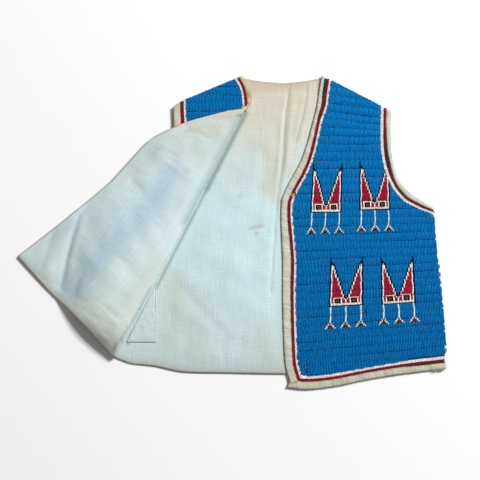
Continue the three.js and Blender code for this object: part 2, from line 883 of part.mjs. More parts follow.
const backRows = backLevels.length + 2;
const backFace = (columns, height, inset) => (i, j) => {
  const spot = backPoint(i, columns[j], inset);
  const whole = backPoint(i, columns[j], 0);
  return [spot.x, spot.y, height(whole.x, whole.y)];
};
addWall(
  "back",
  backRows,
  backColumns.length - 1,
  backFace(backColumns, () => backThickness, 0),
  backFace(backColumns, () => 0, 0),
  muslin,
);
const liningInset = 0.8;
const liningTop = (x, y) => backLiningBase + liningThickness + liningHeight(x, y);
addWall(
  "back_lining",
  backRows,
  liningColumns.length - 1,
  backFace(liningColumns, liningTop, liningInset),
  backFace(liningColumns, (x, y) => liningTop(x, y) - liningThickness, liningInset),
  muslin,
);

// A patch sewn on the lining beside the fold.
const patchRight = -200;
const patchLevels = [51, 66, 82, 98, 108, 124, 140, 158];
const patchBase = backLiningBase + liningThickness + layerGap;
const patchThickness = 0.8;
const patchSides = {
  left: patchLevels.map((y) => {
    const reach = (y - foldStart.y) / foldAlong.y;
    return { x: foldStart.x + reach * foldAlong.x + 3, y };
  }),
  right: patchLevels.map((y) => ({ x: patchRight, y })),
};
addRowPanel(
  "back_lining_patch",
  patchSides,
  patchLevels,
  3,
  () => patchBase + patchThickness,
  () => patchBase,
  muslin,
);

const bounds = new THREE.Box3().setFromObject(vest);
const middle = bounds.getCenter(new THREE.Vector3());
vest.position.set(-middle.x, -middle.y, -bounds.min.z);

export default vest;
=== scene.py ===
import math

import bpy
import numpy as np
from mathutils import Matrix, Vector


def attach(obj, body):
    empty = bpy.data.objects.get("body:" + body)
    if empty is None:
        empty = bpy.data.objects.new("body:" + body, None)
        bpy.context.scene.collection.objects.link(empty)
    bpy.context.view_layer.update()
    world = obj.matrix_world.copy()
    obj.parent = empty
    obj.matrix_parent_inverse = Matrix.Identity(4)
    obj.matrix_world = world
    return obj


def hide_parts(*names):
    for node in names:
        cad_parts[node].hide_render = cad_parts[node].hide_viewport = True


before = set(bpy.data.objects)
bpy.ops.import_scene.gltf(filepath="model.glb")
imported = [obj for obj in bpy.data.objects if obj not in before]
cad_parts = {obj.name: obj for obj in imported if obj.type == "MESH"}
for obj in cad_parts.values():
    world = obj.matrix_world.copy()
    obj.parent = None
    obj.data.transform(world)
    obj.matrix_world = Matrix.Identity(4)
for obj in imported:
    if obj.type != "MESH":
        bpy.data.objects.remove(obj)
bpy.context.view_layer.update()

rng = np.random.default_rng(1890)
for item in bpy.context.selected_objects:
    item.select_set(False)

# The layout is in millimetres from the centre front at the hem, and this is where its zero lies.
layout = {"x": 80.23, "y": -227.95, "pixel": 1.6, "zeroX": 282, "zeroY": 375}
pathStep = 2.3  # between the points of a cut edge

cutEdge = {
    "neckline": [
        (64, 478), (60.6, 458), (56.6, 430.6), (49.4, 402), (40.3, 368), (29.4, 338.7), (9.3, 302),
        (0, 280),
    ],
    "centre": [
        (0, 280), (-0.8, 247), (1.8, 184), (1.8, 120), (5.1, 27), (11.6, -4), (13.2, -10), (9.4, -18.4),
    ],
    "hem": [(9.4, -18.4), (42.7, -21), (88.6, -15.5), (132.8, -6.2), (180.5, 1.9), (217, 6.6), (260, 12)],
    "side": [
        (260, 12), (261.3, 51), (259.5, 78), (255.8, 124), (252.2, 155), (245.8, 216), (242.4, 265.6),
    ],
    "armhole": [
        (242.4, 265.6), (222.9, 276.8), (203, 290.6), (184.6, 312), (173.9, 350), (171.7, 396),
        (172.5, 423),
    ],
    "yokeNeck": [
        (-65.6, 477.5), (-59.2, 467.5), (-52.8, 456), (-49.6, 444.8), (-51.2, 435.2), (-55.5, 428),
    ],
}
leftShoulder = [(40, 474), (62, 478.5), (80.8, 469.9), (156.8, 431), (172.5, 423), (190, 410)]
yokeShoulder = [(-180, 418), (-175.5, 426.5), (-170, 432), (-157, 439.5), (-65.6, 477.5), (-50, 484)]
heights = {"lining": 2.6, "leftHide": 3.9, "frontBase": 2.9, "stack": 4.1}


def fromPhoto(x, y):
    return ((x - layout["zeroX"]) * layout["pixel"], (layout["zeroY"] - y) * layout["pixel"])


def curved(points, spacing):
    # A smooth path through the points, with even steps.
    p = np.array(points, float)
    padded = np.vstack([p[0] * 2 - p[1], p, p[-1] * 2 - p[-2]])
    t = np.linspace(0, 1, 24, endpoint=False)[:, None]
    parts = []
    for a, b, c, d in zip(padded[:-3], padded[1:-2], padded[2:-1], padded[3:]):
        square = (2 * a - 5 * b + 4 * c - d) * t**2
        cube = (3 * b - a - 3 * c + d) * t**3
        parts.append(0.5 * (2 * b + (c - a) * t + square + cube))
    return evenly(np.vstack(parts + [p[-1:]]), spacing)


def evenly(line, spacing):
    along = np.concatenate([[0], np.cumsum(np.linalg.norm(np.diff(line[:, :2], axis=0), axis=1))])
    steps = np.linspace(0, along[-1], max(int(round(along[-1] / spacing)), 2) + 1)
    return np.stack([np.interp(steps, along, line[:, k]) for k in range(line.shape[1])], 1)


def joined(*runs):
    return np.vstack([runs[0]] + [run[1:] for run in runs[1:]])


def moved(path, distance):
    # The path moved to its left by a distance, with mitred corners.
    turn = np.diff(path, axis=0)
    turn = turn / np.linalg.norm(turn, axis=1)[:, None]
    before = np.vstack([turn[:1], turn])
    after = np.vstack([turn, turn[-1:]])
    mean = before + after
    mean = mean / np.linalg.norm(mean, axis=1)[:, None]
    stretch = 1 / np.maximum(np.sqrt((1 + (before * after).sum(1)) / 2), 0.5)
    reach = (distance * stretch)[:, None] if np.ndim(distance) else distance * stretch[:, None]
    return path + np.stack([-mean[:, 1], mean[:, 0]], 1) * reach


def ease(low, high, value):
    share = np.clip((value - low) / (high - low), 0, 1)
    return share * share * (3 - 2 * share)


def awayFrom(points, path):
    # Distance of each point to a path, and the share of the path at its nearest place.
    path = np.asarray(path, float)
    best = np.full(len(points), 1e9)
    share = np.zeros(len(points))
    for k, (a, b) in enumerate(zip(path[:-1], path[1:])):
        run = b - a
        t = np.clip(((points - a) @ run) / max(run @ run, 1e-9), 0, 1)
        gap = np.linalg.norm(points - a - t[:, None] * run, axis=1)
        nearer = gap < best
        best = np.where(nearer, gap, best)
        share = np.where(nearer, (k + t) / (len(path) - 1), share)
    return best, share


def insideOf(points, polygon):
    inside = np.zeros(len(points), bool)
    for a, b in zip(polygon, np.roll(polygon, -1, axis=0)):
        spans = (a[1] > points[:, 1]) != (b[1] > points[:, 1])
        crossing = a[0] + (points[:, 1] - a[1]) * (b[0] - a[0]) / ((b[1] - a[1]) or 1e-9)
        inside ^= spans & (points[:, 0] < crossing)
    return inside


def inset(path, distance):
    # The path moved inwards, with what would loop inside a corner drawn together.
    spots = moved(path, distance)
    gap = awayFrom(spots, path)[0]
    index = np.arange(len(path))
    good = gap > np.abs(distance) - 0.4
    return np.stack([np.interp(index, index[good], spots[good, k]) for k in range(2)], 1)


def prolonged(path, atStart, atEnd):
    # The path with straight runs added at its ends.
    runs = [path]
    if atStart:
        way = (path[0] - path[1]) / np.linalg.norm(path[0] - path[1])
        runs.insert(0, path[0] + way * np.arange(atStart, 0.5, -pathStep)[:, None])
    if atEnd:
        way = (path[-1] - path[-2]) / np.linalg.norm(path[-1] - path[-2])
        runs.append(path[-1] + way * np.arange(pathStep, atEnd + 1, pathStep)[:, None])
    return np.vstack(runs)


def below(points, line):
    rows = np.array(line, float)
    return np.interp(points[:, 0], rows[:, 0], rows[:, 1]) - points[:, 1]


def cutTo(rail, line):
    # A rail shortened to where it meets a line, its last few points drawn up to it.
    clear = below(rail, line)
    inside = np.flatnonzero(clear > 0)
    first, last, count = inside[0], inside[-1], len(rail)
    start, end = float(first), float(last)
    if first > 0:
        start = first - clear[first] / (clear[first] - clear[first - 1])
    if last < count - 1:
        end = last + clear[last] / (clear[last] - clear[last + 1])
    marks = [0, first + 5, max(last - 5, first + 6), count - 1]
    index = np.arange(count)
    places = np.interp(index, marks, [start, first + 5, last - 5, end])
    return np.stack([np.interp(places, index, rail[:, k]) for k in range(2)], 1)


def softNoise(points, size, seed):
    # Smooth seeded unevenness from a few crossing waves.
    waves = np.random.default_rng(seed)
    total = np.zeros(len(points))
    for k in range(7):
        angle = waves.uniform(0, math.tau)
        pace = math.tau / (size * waves.uniform(0.6, 1.7))
        run = points[:, 0] * math.cos(angle) + points[:, 1] * math.sin(angle)
        total += np.sin(run * pace + waves.uniform(0, math.tau))
    return total / 3.2


def linear(value):
    return value / 255 / 12.92 if value <= 10 else ((value / 255 + 0.055) / 1.055) ** 2.4


def tone(red, green, blue):
    # A shade as it looks on a screen, made linear.
    return linear(red), linear(green), linear(blue)


class Flow:
    # A shader value that takes part in sums.
    def __init__(self, finish, socket):
        self.finish = finish
        self.socket = socket

    def joinedBy(self, operation, first, second):
        return self.finish.node("ShaderNodeMath", {"operation": operation}, {0: first, 1: second})

    def __add__(self, other):
        return self.joinedBy("ADD", self, other)

    def __radd__(self, other):
        return self.joinedBy("ADD", other, self)

    def __sub__(self, other):
        return self.joinedBy("SUBTRACT", self, other)

    def __rsub__(self, other):
        return self.joinedBy("SUBTRACT", other, self)

    def __mul__(self, other):
        return self.joinedBy("MULTIPLY", self, other)

    def __rmul__(self, other):
        return self.joinedBy("MULTIPLY", other, self)

    def __pow__(self, other):
        return self.joinedBy("POWER", self, other)


class Finish:
    def __init__(self, name, constants):
        self.material = bpy.data.materials.new(name)
        self.material.use_nodes = True
        self.tree = self.material.node_tree
        self.shader = self.tree.nodes["Principled BSDF"]
        for key, value in constants.items():
            self.shader.inputs[key].default_value = value

    def feed(self, socket, value):
        if isinstance(value, Flow):
            self.tree.links.new(value.socket, socket)
        else:
            socket.default_value = value

    def node(self, kind, settings=None, inputs=None, output=0):
        made = self.tree.nodes.new(kind)
        for key, value in (settings or {}).items():
            if key == "stops":
                for stop, (place, shade) in zip(made.color_ramp.elements, value):
                    stop.position = place
                    stop.color = shade
            else:
                setattr(made, key, value)
        for key, value in (inputs or {}).items():
            self.feed(made.inputs[key], value)
        return Flow(self, made.outputs[output])

    def place(self, stretch=(1, 1, 1), turn=0.0, uv=False):
        source = self.node("ShaderNodeTexCoord", output="UV" if uv else "Object")
        inputs = {"Vector": source, "Scale": stretch, "Rotation": (0, 0, turn)}
        return self.node("ShaderNodeMapping", {}, inputs)

    def noise(self, place, scale, detail=3.0, rough=0.55):
        inputs = {"Vector": place, "Scale": scale, "Detail": detail, "Roughness": rough}
        return self.node("ShaderNodeTexNoise", {}, inputs)

    def wave(self, place, direction, scale, distortion):
        inputs = {"Vector": place, "Scale": scale, "Distortion": distortion}
        return self.node("ShaderNodeTexWave", {"bands_direction": direction}, inputs)

    def combined(self, red, green, blue):
        return self.node("ShaderNodeCombineColor", {}, {0: red, 1: green, 2: blue})

    def ramp(self, value, low, high):
        limits = {"Value": value, "From Min": low, "From Max": high}
        return self.node("ShaderNodeMapRange", {"interpolation_type": "SMOOTHSTEP"}, limits)

    def mix(self, share, first, second, how="MIX"):
        settings = {"data_type": "RGBA", "blend_type": how}
        return self.node("ShaderNodeMix", settings, {0: share, 6: first, 7: second}, output=2)

    def attribute(self, name, output="Color"):
        return self.node("ShaderNodeAttribute", {"attribute_name": name}, output=output)

    def bump(self, height, distance, strength=1.0):
        inputs = {"Height": height, "Distance": distance, "Strength": strength}
        made = self.node("ShaderNodeBump", {}, inputs)
        self.feed(self.shader.inputs["Normal"], made)

    def surface(self, **links):
        for key, value in links.items():
            self.feed(self.shader.inputs[key.replace("_", " ")], value)
        return self.material


def solid(shade):
    return (*shade, 1.0)


# Cloth, hide, bead and thread finishes.
clothLook = {"slub": 0.19, "blotch": 0.05, "bumpDepth": 0.0007}
clothSheen = {"Sheen Weight": 0.12, "Sheen Roughness": 0.6, "Specular IOR Level": 0.15}


def muslinFinish(name, tint=None):
    cloth = Finish(name, clothSheen)
    base = cloth.attribute("clothTint") if tint is None else solid(tint)
    across = cloth.noise(cloth.place((1, 0.04, 1), uv=tint is None), 620.0, 3.0)
    down = cloth.noise(cloth.place((0.06, 1, 1), uv=tint is None), 560.0, 3.0)
    blotch = cloth.noise(cloth.place(), 22.0, 5.0)
    fine = cloth.noise(cloth.place(), 900.0, 2.0)
    threads = (across - 0.5) * clothLook["slub"] * 1.7 + (down - 0.5) * clothLook["slub"]
    grain = 1 + threads + (blotch - 0.5) * clothLook["blotch"] * 2
    shade = cloth.mix(1.0, base, cloth.combined(grain, grain, grain * 0.5 + 0.5), "MULTIPLY")
    cloth.bump(across * 0.5 + down * 0.5 + fine * 0.6, clothLook["bumpDepth"])
    return cloth.surface(Base_Color=shade, Roughness=0.88 + fine * 0.12)


def bindingFinish():
    # Muslin puckered across the strip, with specks where dirt has settled.
    cloth = Finish("bindingMuslin", clothSheen)
    pucker = cloth.noise(cloth.place((1, 0.3, 1), uv=True), 330.0, 3.0)
    weave = cloth.noise(cloth.place((0.3, 1, 1), uv=True), 1100.0, 2.0)
    specks = cloth.ramp(cloth.noise(cloth.place(), 420.0, 3.0), 0.58, 0.72)
    grain = 1 + (pucker - 0.5) * 0.3 + (weave - 0.5) * 0.2
    shade = cloth.mix(1.0, cloth.attribute("clothTint"), cloth.combined(grain, grain, grain), "MULTIPLY")
    shade = cloth.mix(specks * 0.4, shade, solid(tone(132, 112, 82)))
    cloth.bump(pucker + weave * 0.3, 0.0012)
    return cloth.surface(Base_Color=shade, Roughness=0.88 + weave * 0.12)


def hideFinish():
    hide = Finish("tannedHide", {"Specular IOR Level": 0.3})
    grain = hide.noise(hide.place(), 260.0, 5.0)
    soil = hide.noise(hide.place(), 24.0, 4.0)
    shade = hide.mix(hide.ramp(soil, 0.35, 0.7), solid(tone(232, 178, 118)), solid(tone(184, 128, 78)))
    shade = hide.mix(hide.ramp(grain, 0.3, 0.75) * 0.35, shade, solid(tone(146, 94, 52)))
    hide.bump(grain, 0.0003)
    return hide.surface(Base_Color=shade, Roughness=0.7 + grain * 0.25)


beadLook = {"roughness": 0.34, "coat": 0.04, "coatRoughness": 0.15, "level": 0.1}


def beadFinish():
    bead = Finish("glassBeads", {
        "Coat Roughness": beadLook["coatRoughness"],
        "Coat IOR": 1.5,
        "Specular IOR Level": beadLook["level"],
    })
    dust = bead.noise(bead.place(), 60.0, 4.0)
    dusty = bead.ramp(dust, 0.55, 0.85) * 0.03
    shade = bead.mix(dusty, bead.attribute("beadColour"), solid(tone(120, 118, 110)))
    roughness = beadLook["roughness"] + dust * 0.15
    return bead.surface(Base_Color=shade, Roughness=roughness, Coat_Weight=beadLook["coat"] - dusty)


def groundAndShadeFinish():
    # Thread and hide seen between the beads: tan patches of hide, and elsewhere dark blue painted for the
    # shade between the beads.
    ground = Finish("beadGroundAndShade", {"Roughness": 0.9, "Specular IOR Level": 0.1})
    grain = ground.noise(ground.place(), 500.0, 3.0)
    worn = ground.ramp(ground.noise(ground.place(), 90.0, 3.0), 0.5, 0.62)
    shade = ground.mix(grain, solid(tone(4, 78, 130)), solid(tone(2, 56, 104)))
    shade = ground.mix(worn * 0.7, shade, solid(tone(136, 100, 84)))
    ground.bump(grain, 0.0002)
    return ground.surface(Base_Color=shade)


def foldedBeadFinish(name, uv):
    # The beaded face inside the fold: lanes 13 mm apart of strings 2.25 mm apart.
    bead = Finish(name, {"Coat Roughness": 0.15, "Specular IOR Level": 0.3})
    spot = bead.place(uv=uv)
    lanes = bead.wave(spot, "Y", 24.05, 0.4)
    strings = bead.wave(spot, "X", 139.6, 0.6)
    beads = bead.wave(spot, "Y", 192.4, 0.6)
    patches = bead.noise(bead.place(), 60.0)
    # Painted shade: the gaps between lanes and between strings are darkened.
    shade = bead.mix(bead.ramp(lanes, 0.0, 0.3), solid(tone(10, 30, 56)), solid(tone(2, 100, 165)))
    between = bead.mix(0.55, shade, solid(tone(2, 30, 60)))
    shade = bead.mix(bead.ramp(strings * beads, 0.0, 0.35), between, shade)
    shade = bead.mix(patches * 0.3, shade, solid(tone(2, 70, 128)))
    bead.bump(lanes * 0.5 + strings * 0.4 + beads * 0.3, 0.0009)
    return bead.surface(Base_Color=shade, Roughness=0.3 + patches * 0.15, Coat_Weight=0.2 - patches * 0.1)


def threadFinish():
    thread = Finish("sewingThread", {"Roughness": 0.85, "Specular IOR Level": 0.2})
    twist = thread.noise(thread.place(), 700.0)
    shade = thread.mix(twist, solid(tone(214, 206, 184)), solid(tone(150, 136, 108)))
    return thread.surface(Base_Color=shade)


finishes = {
    "lining": muslinFinish("fadedMuslin"),
    "backCloth": muslinFinish("backMuslin", tone(206, 203, 188)),
    "bindingCloth": bindingFinish(),
    "hide": hideFinish(),
    "beads": beadFinish(),
    "ground": groundAndShadeFinish(),
    "foldedBeads": foldedBeadFinish("foldedBeads", True),
    "coveredBeads": foldedBeadFinish("coveredBeads", False),
    "thread": threadFinish(),
}
print("finishes made")


def addPiece(
    name, points, corners, finish, slotName, replaced=(), uv=None, tints=None, tintName="clothTint",
):
    # A mesh from arrays: points in layout millimetres, corners as triangles or quads.
    mesh = bpy.data.meshes.new(name)
    places = np.array(points, np.float64)
    places[:, 0] += layout["x"]
    places[:, 1] += layout["y"]
    corners = np.asarray(corners, np.int32)
    count, sides = corners.shape
    mesh.vertices.add(len(places))
    mesh.vertices.foreach_set("co", (places / 1000).astype(np.float32).ravel())
    mesh.loops.add(count * sides)
    mesh.loops.foreach_set("vertex_index", corners.ravel())
    mesh.polygons.add(count)
    mesh.polygons.foreach_set("loop_start", np.arange(count, dtype=np.int32) * sides)
    mesh.polygons.foreach_set("loop_total", np.full(count, sides, np.int32))
    mesh.polygons.foreach_set("use_smooth", np.full(count, True))
    mesh.update(calc_edges=True)
    if uv is not None:
        layer = mesh.uv_layers.new(name="cloth")
        layer.data.foreach_set("uv", (np.asarray(uv)[corners.ravel()] / 1000).astype(np.float32).ravel())
    if tints is not None:
        colours = mesh.color_attributes.new(tintName, "FLOAT_COLOR", "POINT")
        four = np.ones((len(places), 4), np.float32)
        four[:, :3] = tints
        colours.data.foreach_set("color", four.ravel())
    mesh.materials.append(finishes[finish])
    piece = bpy.data.objects.new(name, mesh)
    bpy.context.scene.collection.objects.link(piece)
    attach(piece, "root")
    if replaced:
        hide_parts(*replaced)
    return piece


def shellOf(top, bottom):
    # A closed shell between two grids of points, with its corners as quads.
    rows, columns = top.shape[:2]
    index = np.arange(rows * columns).reshape(rows, columns)
    low = index + rows * columns
    up = np.stack([index[:-1, :-1], index[:-1, 1:], index[1:, 1:], index[1:, :-1]], -1).reshape(-1, 4)
    down = np.stack([low[:-1, :-1], low[1:, :-1], low[1:, 1:], low[:-1, 1:]], -1).reshape(-1, 4)
    rim = np.concatenate([index[0, :-1], index[:-1, -1], index[-1, :0:-1], index[:0:-1, 0]])
    after = np.roll(rim, -1)
    wall = np.stack([after, rim, rim + rows * columns, after + rows * columns], -1)
    points = np.vstack([top.reshape(-1, 3), bottom.reshape(-1, 3)])
    corners = np.vstack([up, down, wall])
    return points, outward(points, corners)


def outward(points, corners):
    a = points[corners[:, 0]]
    volume = 0.0
    for k in range(1, corners.shape[1] - 1):
        volume += (a * np.cross(points[corners[:, k]], points[corners[:, k + 1]])).sum()
    return corners if volume > 0 else corners[:, ::-1]


def rowGrid(outline, levels, columns):
    # A grid over an outline that each level crosses twice.
    rows = []
    for level in levels:
        a, b = outline, np.roll(outline, -1, axis=0)
        spans = (a[:, 1] > level) != (b[:, 1] > level)
        share = (level - a[spans, 1]) / (b[spans, 1] - a[spans, 1])
        x = a[spans, 0] + share * (b[spans, 0] - a[spans, 0])
        rows.append(np.stack([np.linspace(x.min(), x.max(), columns), np.full(columns, level)], 1))
    return np.array(rows)


# One bead, turned as a barrel along z, then copied into each row.
beadShape = {"sides": 5, "endShare": 0.74}


def modelBead():
    bpy.ops.mesh.primitive_cylinder_add(vertices=beadShape["sides"], radius=1.0, depth=2.0)
    bead = bpy.context.object
    bpy.ops.object.mode_set(mode="EDIT")
    bpy.ops.mesh.select_all(action="SELECT")
    bpy.ops.mesh.bisect(plane_co=(0, 0, 0), plane_no=(0, 0, 1))
    bpy.ops.mesh.select_all(action="DESELECT")
    bpy.ops.object.mode_set(mode="OBJECT")
    for vertex in bead.data.vertices:
        vertex.select = abs(vertex.co.z) > 0.5
    bpy.ops.object.mode_set(mode="EDIT")
    bpy.ops.mesh.select_mode(type="VERT")
    share = beadShape["endShare"]
    bpy.ops.transform.resize(value=(share, share, 1))
    bpy.ops.mesh.select_all(action="SELECT")
    bpy.ops.mesh.quads_convert_to_tris()
    bpy.ops.object.mode_set(mode="OBJECT")
    points = np.array([v.co for v in bead.data.vertices], float)
    corners = np.array([p.vertices[:] for p in bead.data.polygons], int)
    bpy.data.objects.remove(bead)
    return points, outward(points, corners)


beadPoints, beadCorners = modelBead()
beadSize = {
    "across": 2.52, "length": 1.6, "stringStep": 2.25, "lane": 13.06, "firstLine": 3.1, "perLane": 8,
}
beadStep = beadSize["lane"] / beadSize["perLane"]
beadColours = {
    "blueTop": tone(0, 134, 204),
    "blueLow": tone(0, 118, 185),
    "white": tone(250, 245, 236),
    "black": tone(10, 12, 34),
    "rose": tone(176, 30, 62),
    "maroon": tone(146, 26, 48),
    "brown": tone(120, 75, 43),
    "green": tone(34, 66, 56),
}


def layBeads(
    name, centres, axes, colours, slotName, replaced=(),
    across=beadSize["across"], length=beadSize["length"], finish="beads", loose=0.035,
):
    # Copies of the bead at each centre, its hole along the axis.
    count = len(centres)
    wide = across / 2 * rng.normal(1, loose, count)
    long = length / 2 * rng.normal(1, loose, count)
    axes = axes / np.linalg.norm(axes, axis=1)[:, None]
    side = np.cross(axes, [0.02, 0.013, 1.0])
    side /= np.linalg.norm(side, axis=1)[:, None]
    up = np.cross(side, axes)
    spin = rng.uniform(0, math.tau, count)
    turnedSide = side * np.cos(spin)[:, None] + up * np.sin(spin)[:, None]
    turnedUp = up * np.cos(spin)[:, None] - side * np.sin(spin)[:, None]
    t = beadPoints
    points = (
        centres[:, None, :]
        + turnedSide[:, None, :] * (t[None, :, 0:1] * wide[:, None, None])
        + turnedUp[:, None, :] * (t[None, :, 1:2] * wide[:, None, None])
        + axes[:, None, :] * (t[None, :, 2:3] * long[:, None, None])
    ).reshape(-1, 3)
    corners = (beadCorners[None] + (np.arange(count) * len(t))[:, None, None]).reshape(-1, 3)
    corners = outward(points, corners)
    tints = np.repeat(colours, len(t), axis=0) if colours is not None else None
    return addPiece(name, points, corners, finish, slotName, replaced, tints=tints, tintName="beadColour")


def beadShades(names, heightsUp):
    # Each bead's colour, with the small differences between strings of old glass.
    low = np.array(beadColours["blueLow"])
    top = np.array(beadColours["blueTop"])
    share = ease(0, 470, heightsUp)[:, None]
    shades = low * (1 - share) + top * share
    for key, value in beadColours.items():
        if not key.startswith("blue"):
            shades[names == key] = value
    spread = rng.normal(0, 0.1, len(names)) * np.where(names == "maroon", 2.0, 1.0)
    return np.clip(shades * (1 + spread)[:, None], 0, 1)


# The lanes lie level at mid-height; towards the shoulder they fall to the right, at the hem they rise.
laneTilt = [
    (24, 0.09), (72, 0.08), (120, 0.06), (232, 0.02), (370, 0), (384, -0.02), (400, -0.08), (416, -0.12),
    (448, -0.16),
]
# The strings fan out towards the hem.
stringFan = {"middle": 130.0, "level": 209.0, "share": 0.00066}


def laneBeads(spanX, spanY, polygon, base, arch, tilt=((0, 0), (1, 0)), fan=0.0, scallop=0.0):
    # Beads of the lanes that lie inside a polygon, row by row up each string.
    xs = np.arange(spanX[0], spanX[1], beadSize["stringStep"])
    first = math.floor((spanY[0] - beadSize["firstLine"]) / beadStep)
    rows = np.arange(first, math.ceil((spanY[1] - beadSize["firstLine"]) / beadStep))
    string, row = (part.ravel() for part in np.meshgrid(np.arange(len(xs)), rows, indexing="ij"))
    x = xs[string]
    lane = row // beadSize["perLane"]
    across = (row % beadSize["perLane"] + 0.5) / beadSize["perLane"]
    key = (string * 97 + lane * 131) % 4096
    shifts = rng.normal(0, 1, (4096, 3))
    level = beadSize["firstLine"] + (row + 0.5) * beadStep
    slopes = np.interp(level, *np.array(tilt, float).T)
    y = level + slopes * (x - 77) + shifts[key, 0] * 0.1 + 0.5 * np.sin(x * 0.023 + lane * 1.7)
    y = y - 0.035 * (across - 0.5) * beadSize["lane"]
    lean = 0.1 * np.sin(lane * 2.1 + x * 0.011) - 0.5 * slopes + shifts[key, 1] * 0.03
    spread = 1 + fan * (stringFan["level"] - level)
    xAt = stringFan["middle"] + (x - stringFan["middle"]) * spread + shifts[key, 2] * 0.09
    y = y + slopes * (xAt - x)
    xAt = xAt + lean * (across - 0.5) * beadSize["lane"]
    rise = arch * np.sin(math.pi * across) ** 0.65 + shifts[key, 0] * 0.06
    slope = arch * 0.65 * math.pi / beadSize["lane"] * np.cos(math.pi * across)
    centres = np.stack([xAt, y, base + rise], 1)
    axes = np.stack([lean, np.ones_like(x), slope], 1)
    bulge = scallop * (np.sin(math.pi * across) - 0.4) * (xAt > 200)
    keep = insideOf(np.stack([xAt - bulge, y], 1), polygon)
    # At the side, a string of which only a few beads lie inside the outline is left out.
    group = string * 100 + lane - lane.min()
    counts = np.bincount(group[keep], minlength=int(group.max()) + 1)
    keep &= (counts[group] > 3) | (xAt < 200)
    return centres[keep], axes[keep], x[keep], row[keep], spread[keep] * beadSize["across"]


# The left front: its cut edge, and the widths of its borders at places of the photo's frame.
frontPath = joined(*(curved(cutEdge[edge], pathStep) for edge in ("neckline", "centre", "hem")))
frontPath = prolonged(frontPath, 14, 4)
armPath = prolonged(curved(cutEdge["armhole"], pathStep), 9, 16)
sidePath = curved(cutEdge["side"], 4)
frontWidths = {
    "binding": [
        (320, 83, 5), (318, 94, 5.4), (317, 103, 6.2), (316, 117, 4.8), (315, 125, 5.6),
        (306, 142, 7.2), (290, 170, 10), (282, 190, 10), (281.8, 212, 9.4), (282.3, 235, 11.5),
        (282.6, 260, 13), (283.3, 310, 12), (285, 350, 12), (289, 386, 11.6), (307, 387, 11.6),
        (325, 385, 10.9), (362, 379, 10.2), (398, 373, 10.2), (416, 371, 9.4), (434, 369, 8.7),
    ],
    "green": [
        (321, 80, 2.8), (318, 94, 2.3), (317, 103, 1.9), (316, 117, 0.8), (315, 127, 0), (398, 373, 0),
        (416, 371, 1.3), (440, 368, 1.4),
    ],
    "maroon": [(320, 83, 4.2), (444, 367, 4.1)],
    "white": [(320, 83, 3.8), (285, 350, 3.8), (325, 385, 4.4)],
}
armWidths = {
    "binding": [
        (433, 209, 2.2), (424, 203, 4.6), (410, 193, 7.0), (396, 182, 5), (391, 165, 3.9),
        (389.5, 150, 4.8), (389, 135, 5.7), (389.3, 116, 6.9), (389.8, 106, 7),
    ],
    "green": [
        (433, 209, 1.0), (410, 193, 1.8), (396, 180, 1.8), (391, 165, 3.9), (389.5, 150, 3),
        (389, 135, 1.7), (389, 122, 0), (389.8, 106, 0),
    ],
    "maroon": [(433, 209, 2.4), (391, 165, 2.6), (389, 116, 3.8)],
    "white": [(433, 209, 3.2), (410, 193, 4.0), (391, 165, 4.4), (389, 116, 4.6)],
}


def widthsAlong(path, tables):
    # Each border's width at every point of the path.
    found = {}
    for key, rows in tables.items():
        spots = np.array([fromPhoto(x, y) for x, y, _ in rows])
        index = np.array([np.argmin(np.linalg.norm(path - spot, axis=1)) for spot in spots])
        order = np.argsort(index)
        found[key] = np.interp(np.arange(len(path)), index[order], np.array(rows)[order, 2])
    return found


frontBorder = widthsAlong(frontPath, frontWidths)
armBorder = widthsAlong(armPath, armWidths)


def sideAt(y):
    return np.interp(y, sidePath[:, 1], sidePath[:, 0])


def fieldOutline(beyond):
    # The beaded field inside the border rows, as far as a distance beyond the side.
    edges = []
    for path, border in ((frontPath, frontBorder), (armPath, armBorder)):
        edge = inset(path, sum(border.values()) - 0.2)
        edges.append(edge[(below(edge, leftShoulder) > 0) & (edge[:, 0] < sideAt(edge[:, 1]) - 0.5)])
    front, arm = edges
    side = sidePath[(sidePath[:, 1] > front[-1, 1] + 1) & (sidePath[:, 1] < arm[0, 1] - 1)] + [beyond, 0]
    return np.vstack([front, side, arm, [[156.8, 431], [80.8, 469.9]]])


def areaOf(polygon):
    after = np.roll(polygon, -1, axis=0)
    return abs((polygon[:, 0] * after[:, 1] - after[:, 0] * polygon[:, 1]).sum()) / 2e6


def layFlat(name, outline, low, high, finish, slotName, replaced, flat, under):
    # A level sheet between two heights.
    levels = np.linspace(outline[:, 1].min() + 0.3, outline[:, 1].max() - 0.3, 150)
    plan = rowGrid(outline, levels, 14)
    top = np.concatenate([plan, np.full(plan.shape[:2] + (1,), high)], 2)
    bottom = np.concatenate([plan, np.full(plan.shape[:2] + (1,), low)], 2)
    points, corners = shellOf(top, bottom)
    piece = addPiece(name, points, corners, finish, slotName, (replaced,))
    areaOf(outline)


# The left front's hide is cut back a little under its bindings and beads.
leftHide = {"high": heights["leftHide"], "low": heights["leftHide"] - 1.0, "flat": (0.26, 0.5)}


def layHide():
    outline = np.vstack([
        inset(frontPath, 1.4)[6:-3],
        sidePath[3:-1] - [3.0, 0],
        inset(armPath, 1.6)[5:-7],
        [[168, 423], [68, 474]],
    ])
    levels = leftHide["low"], leftHide["high"]
    layFlat("leftHide", outline, *levels, "hide", "hide", "left_front", leftHide["flat"], "back_lining")


# Each figure: its left string, its foot line, and the row where its legs end.
figures = [
    {"left": 45.3, "foot": 260.9, "ankle": -15},
    {"left": 126.7, "foot": 264.6, "ankle": -16},
    {"left": 80.0, "foot": 110.9, "ankle": -16},
    {"left": 159.8, "foot": 109.0, "ankle": -15},
]


# Counted in strings from the left and rows from the foot line.
figureSize = {"lastString": 20, "topRow": 39, "bandRows": 6}


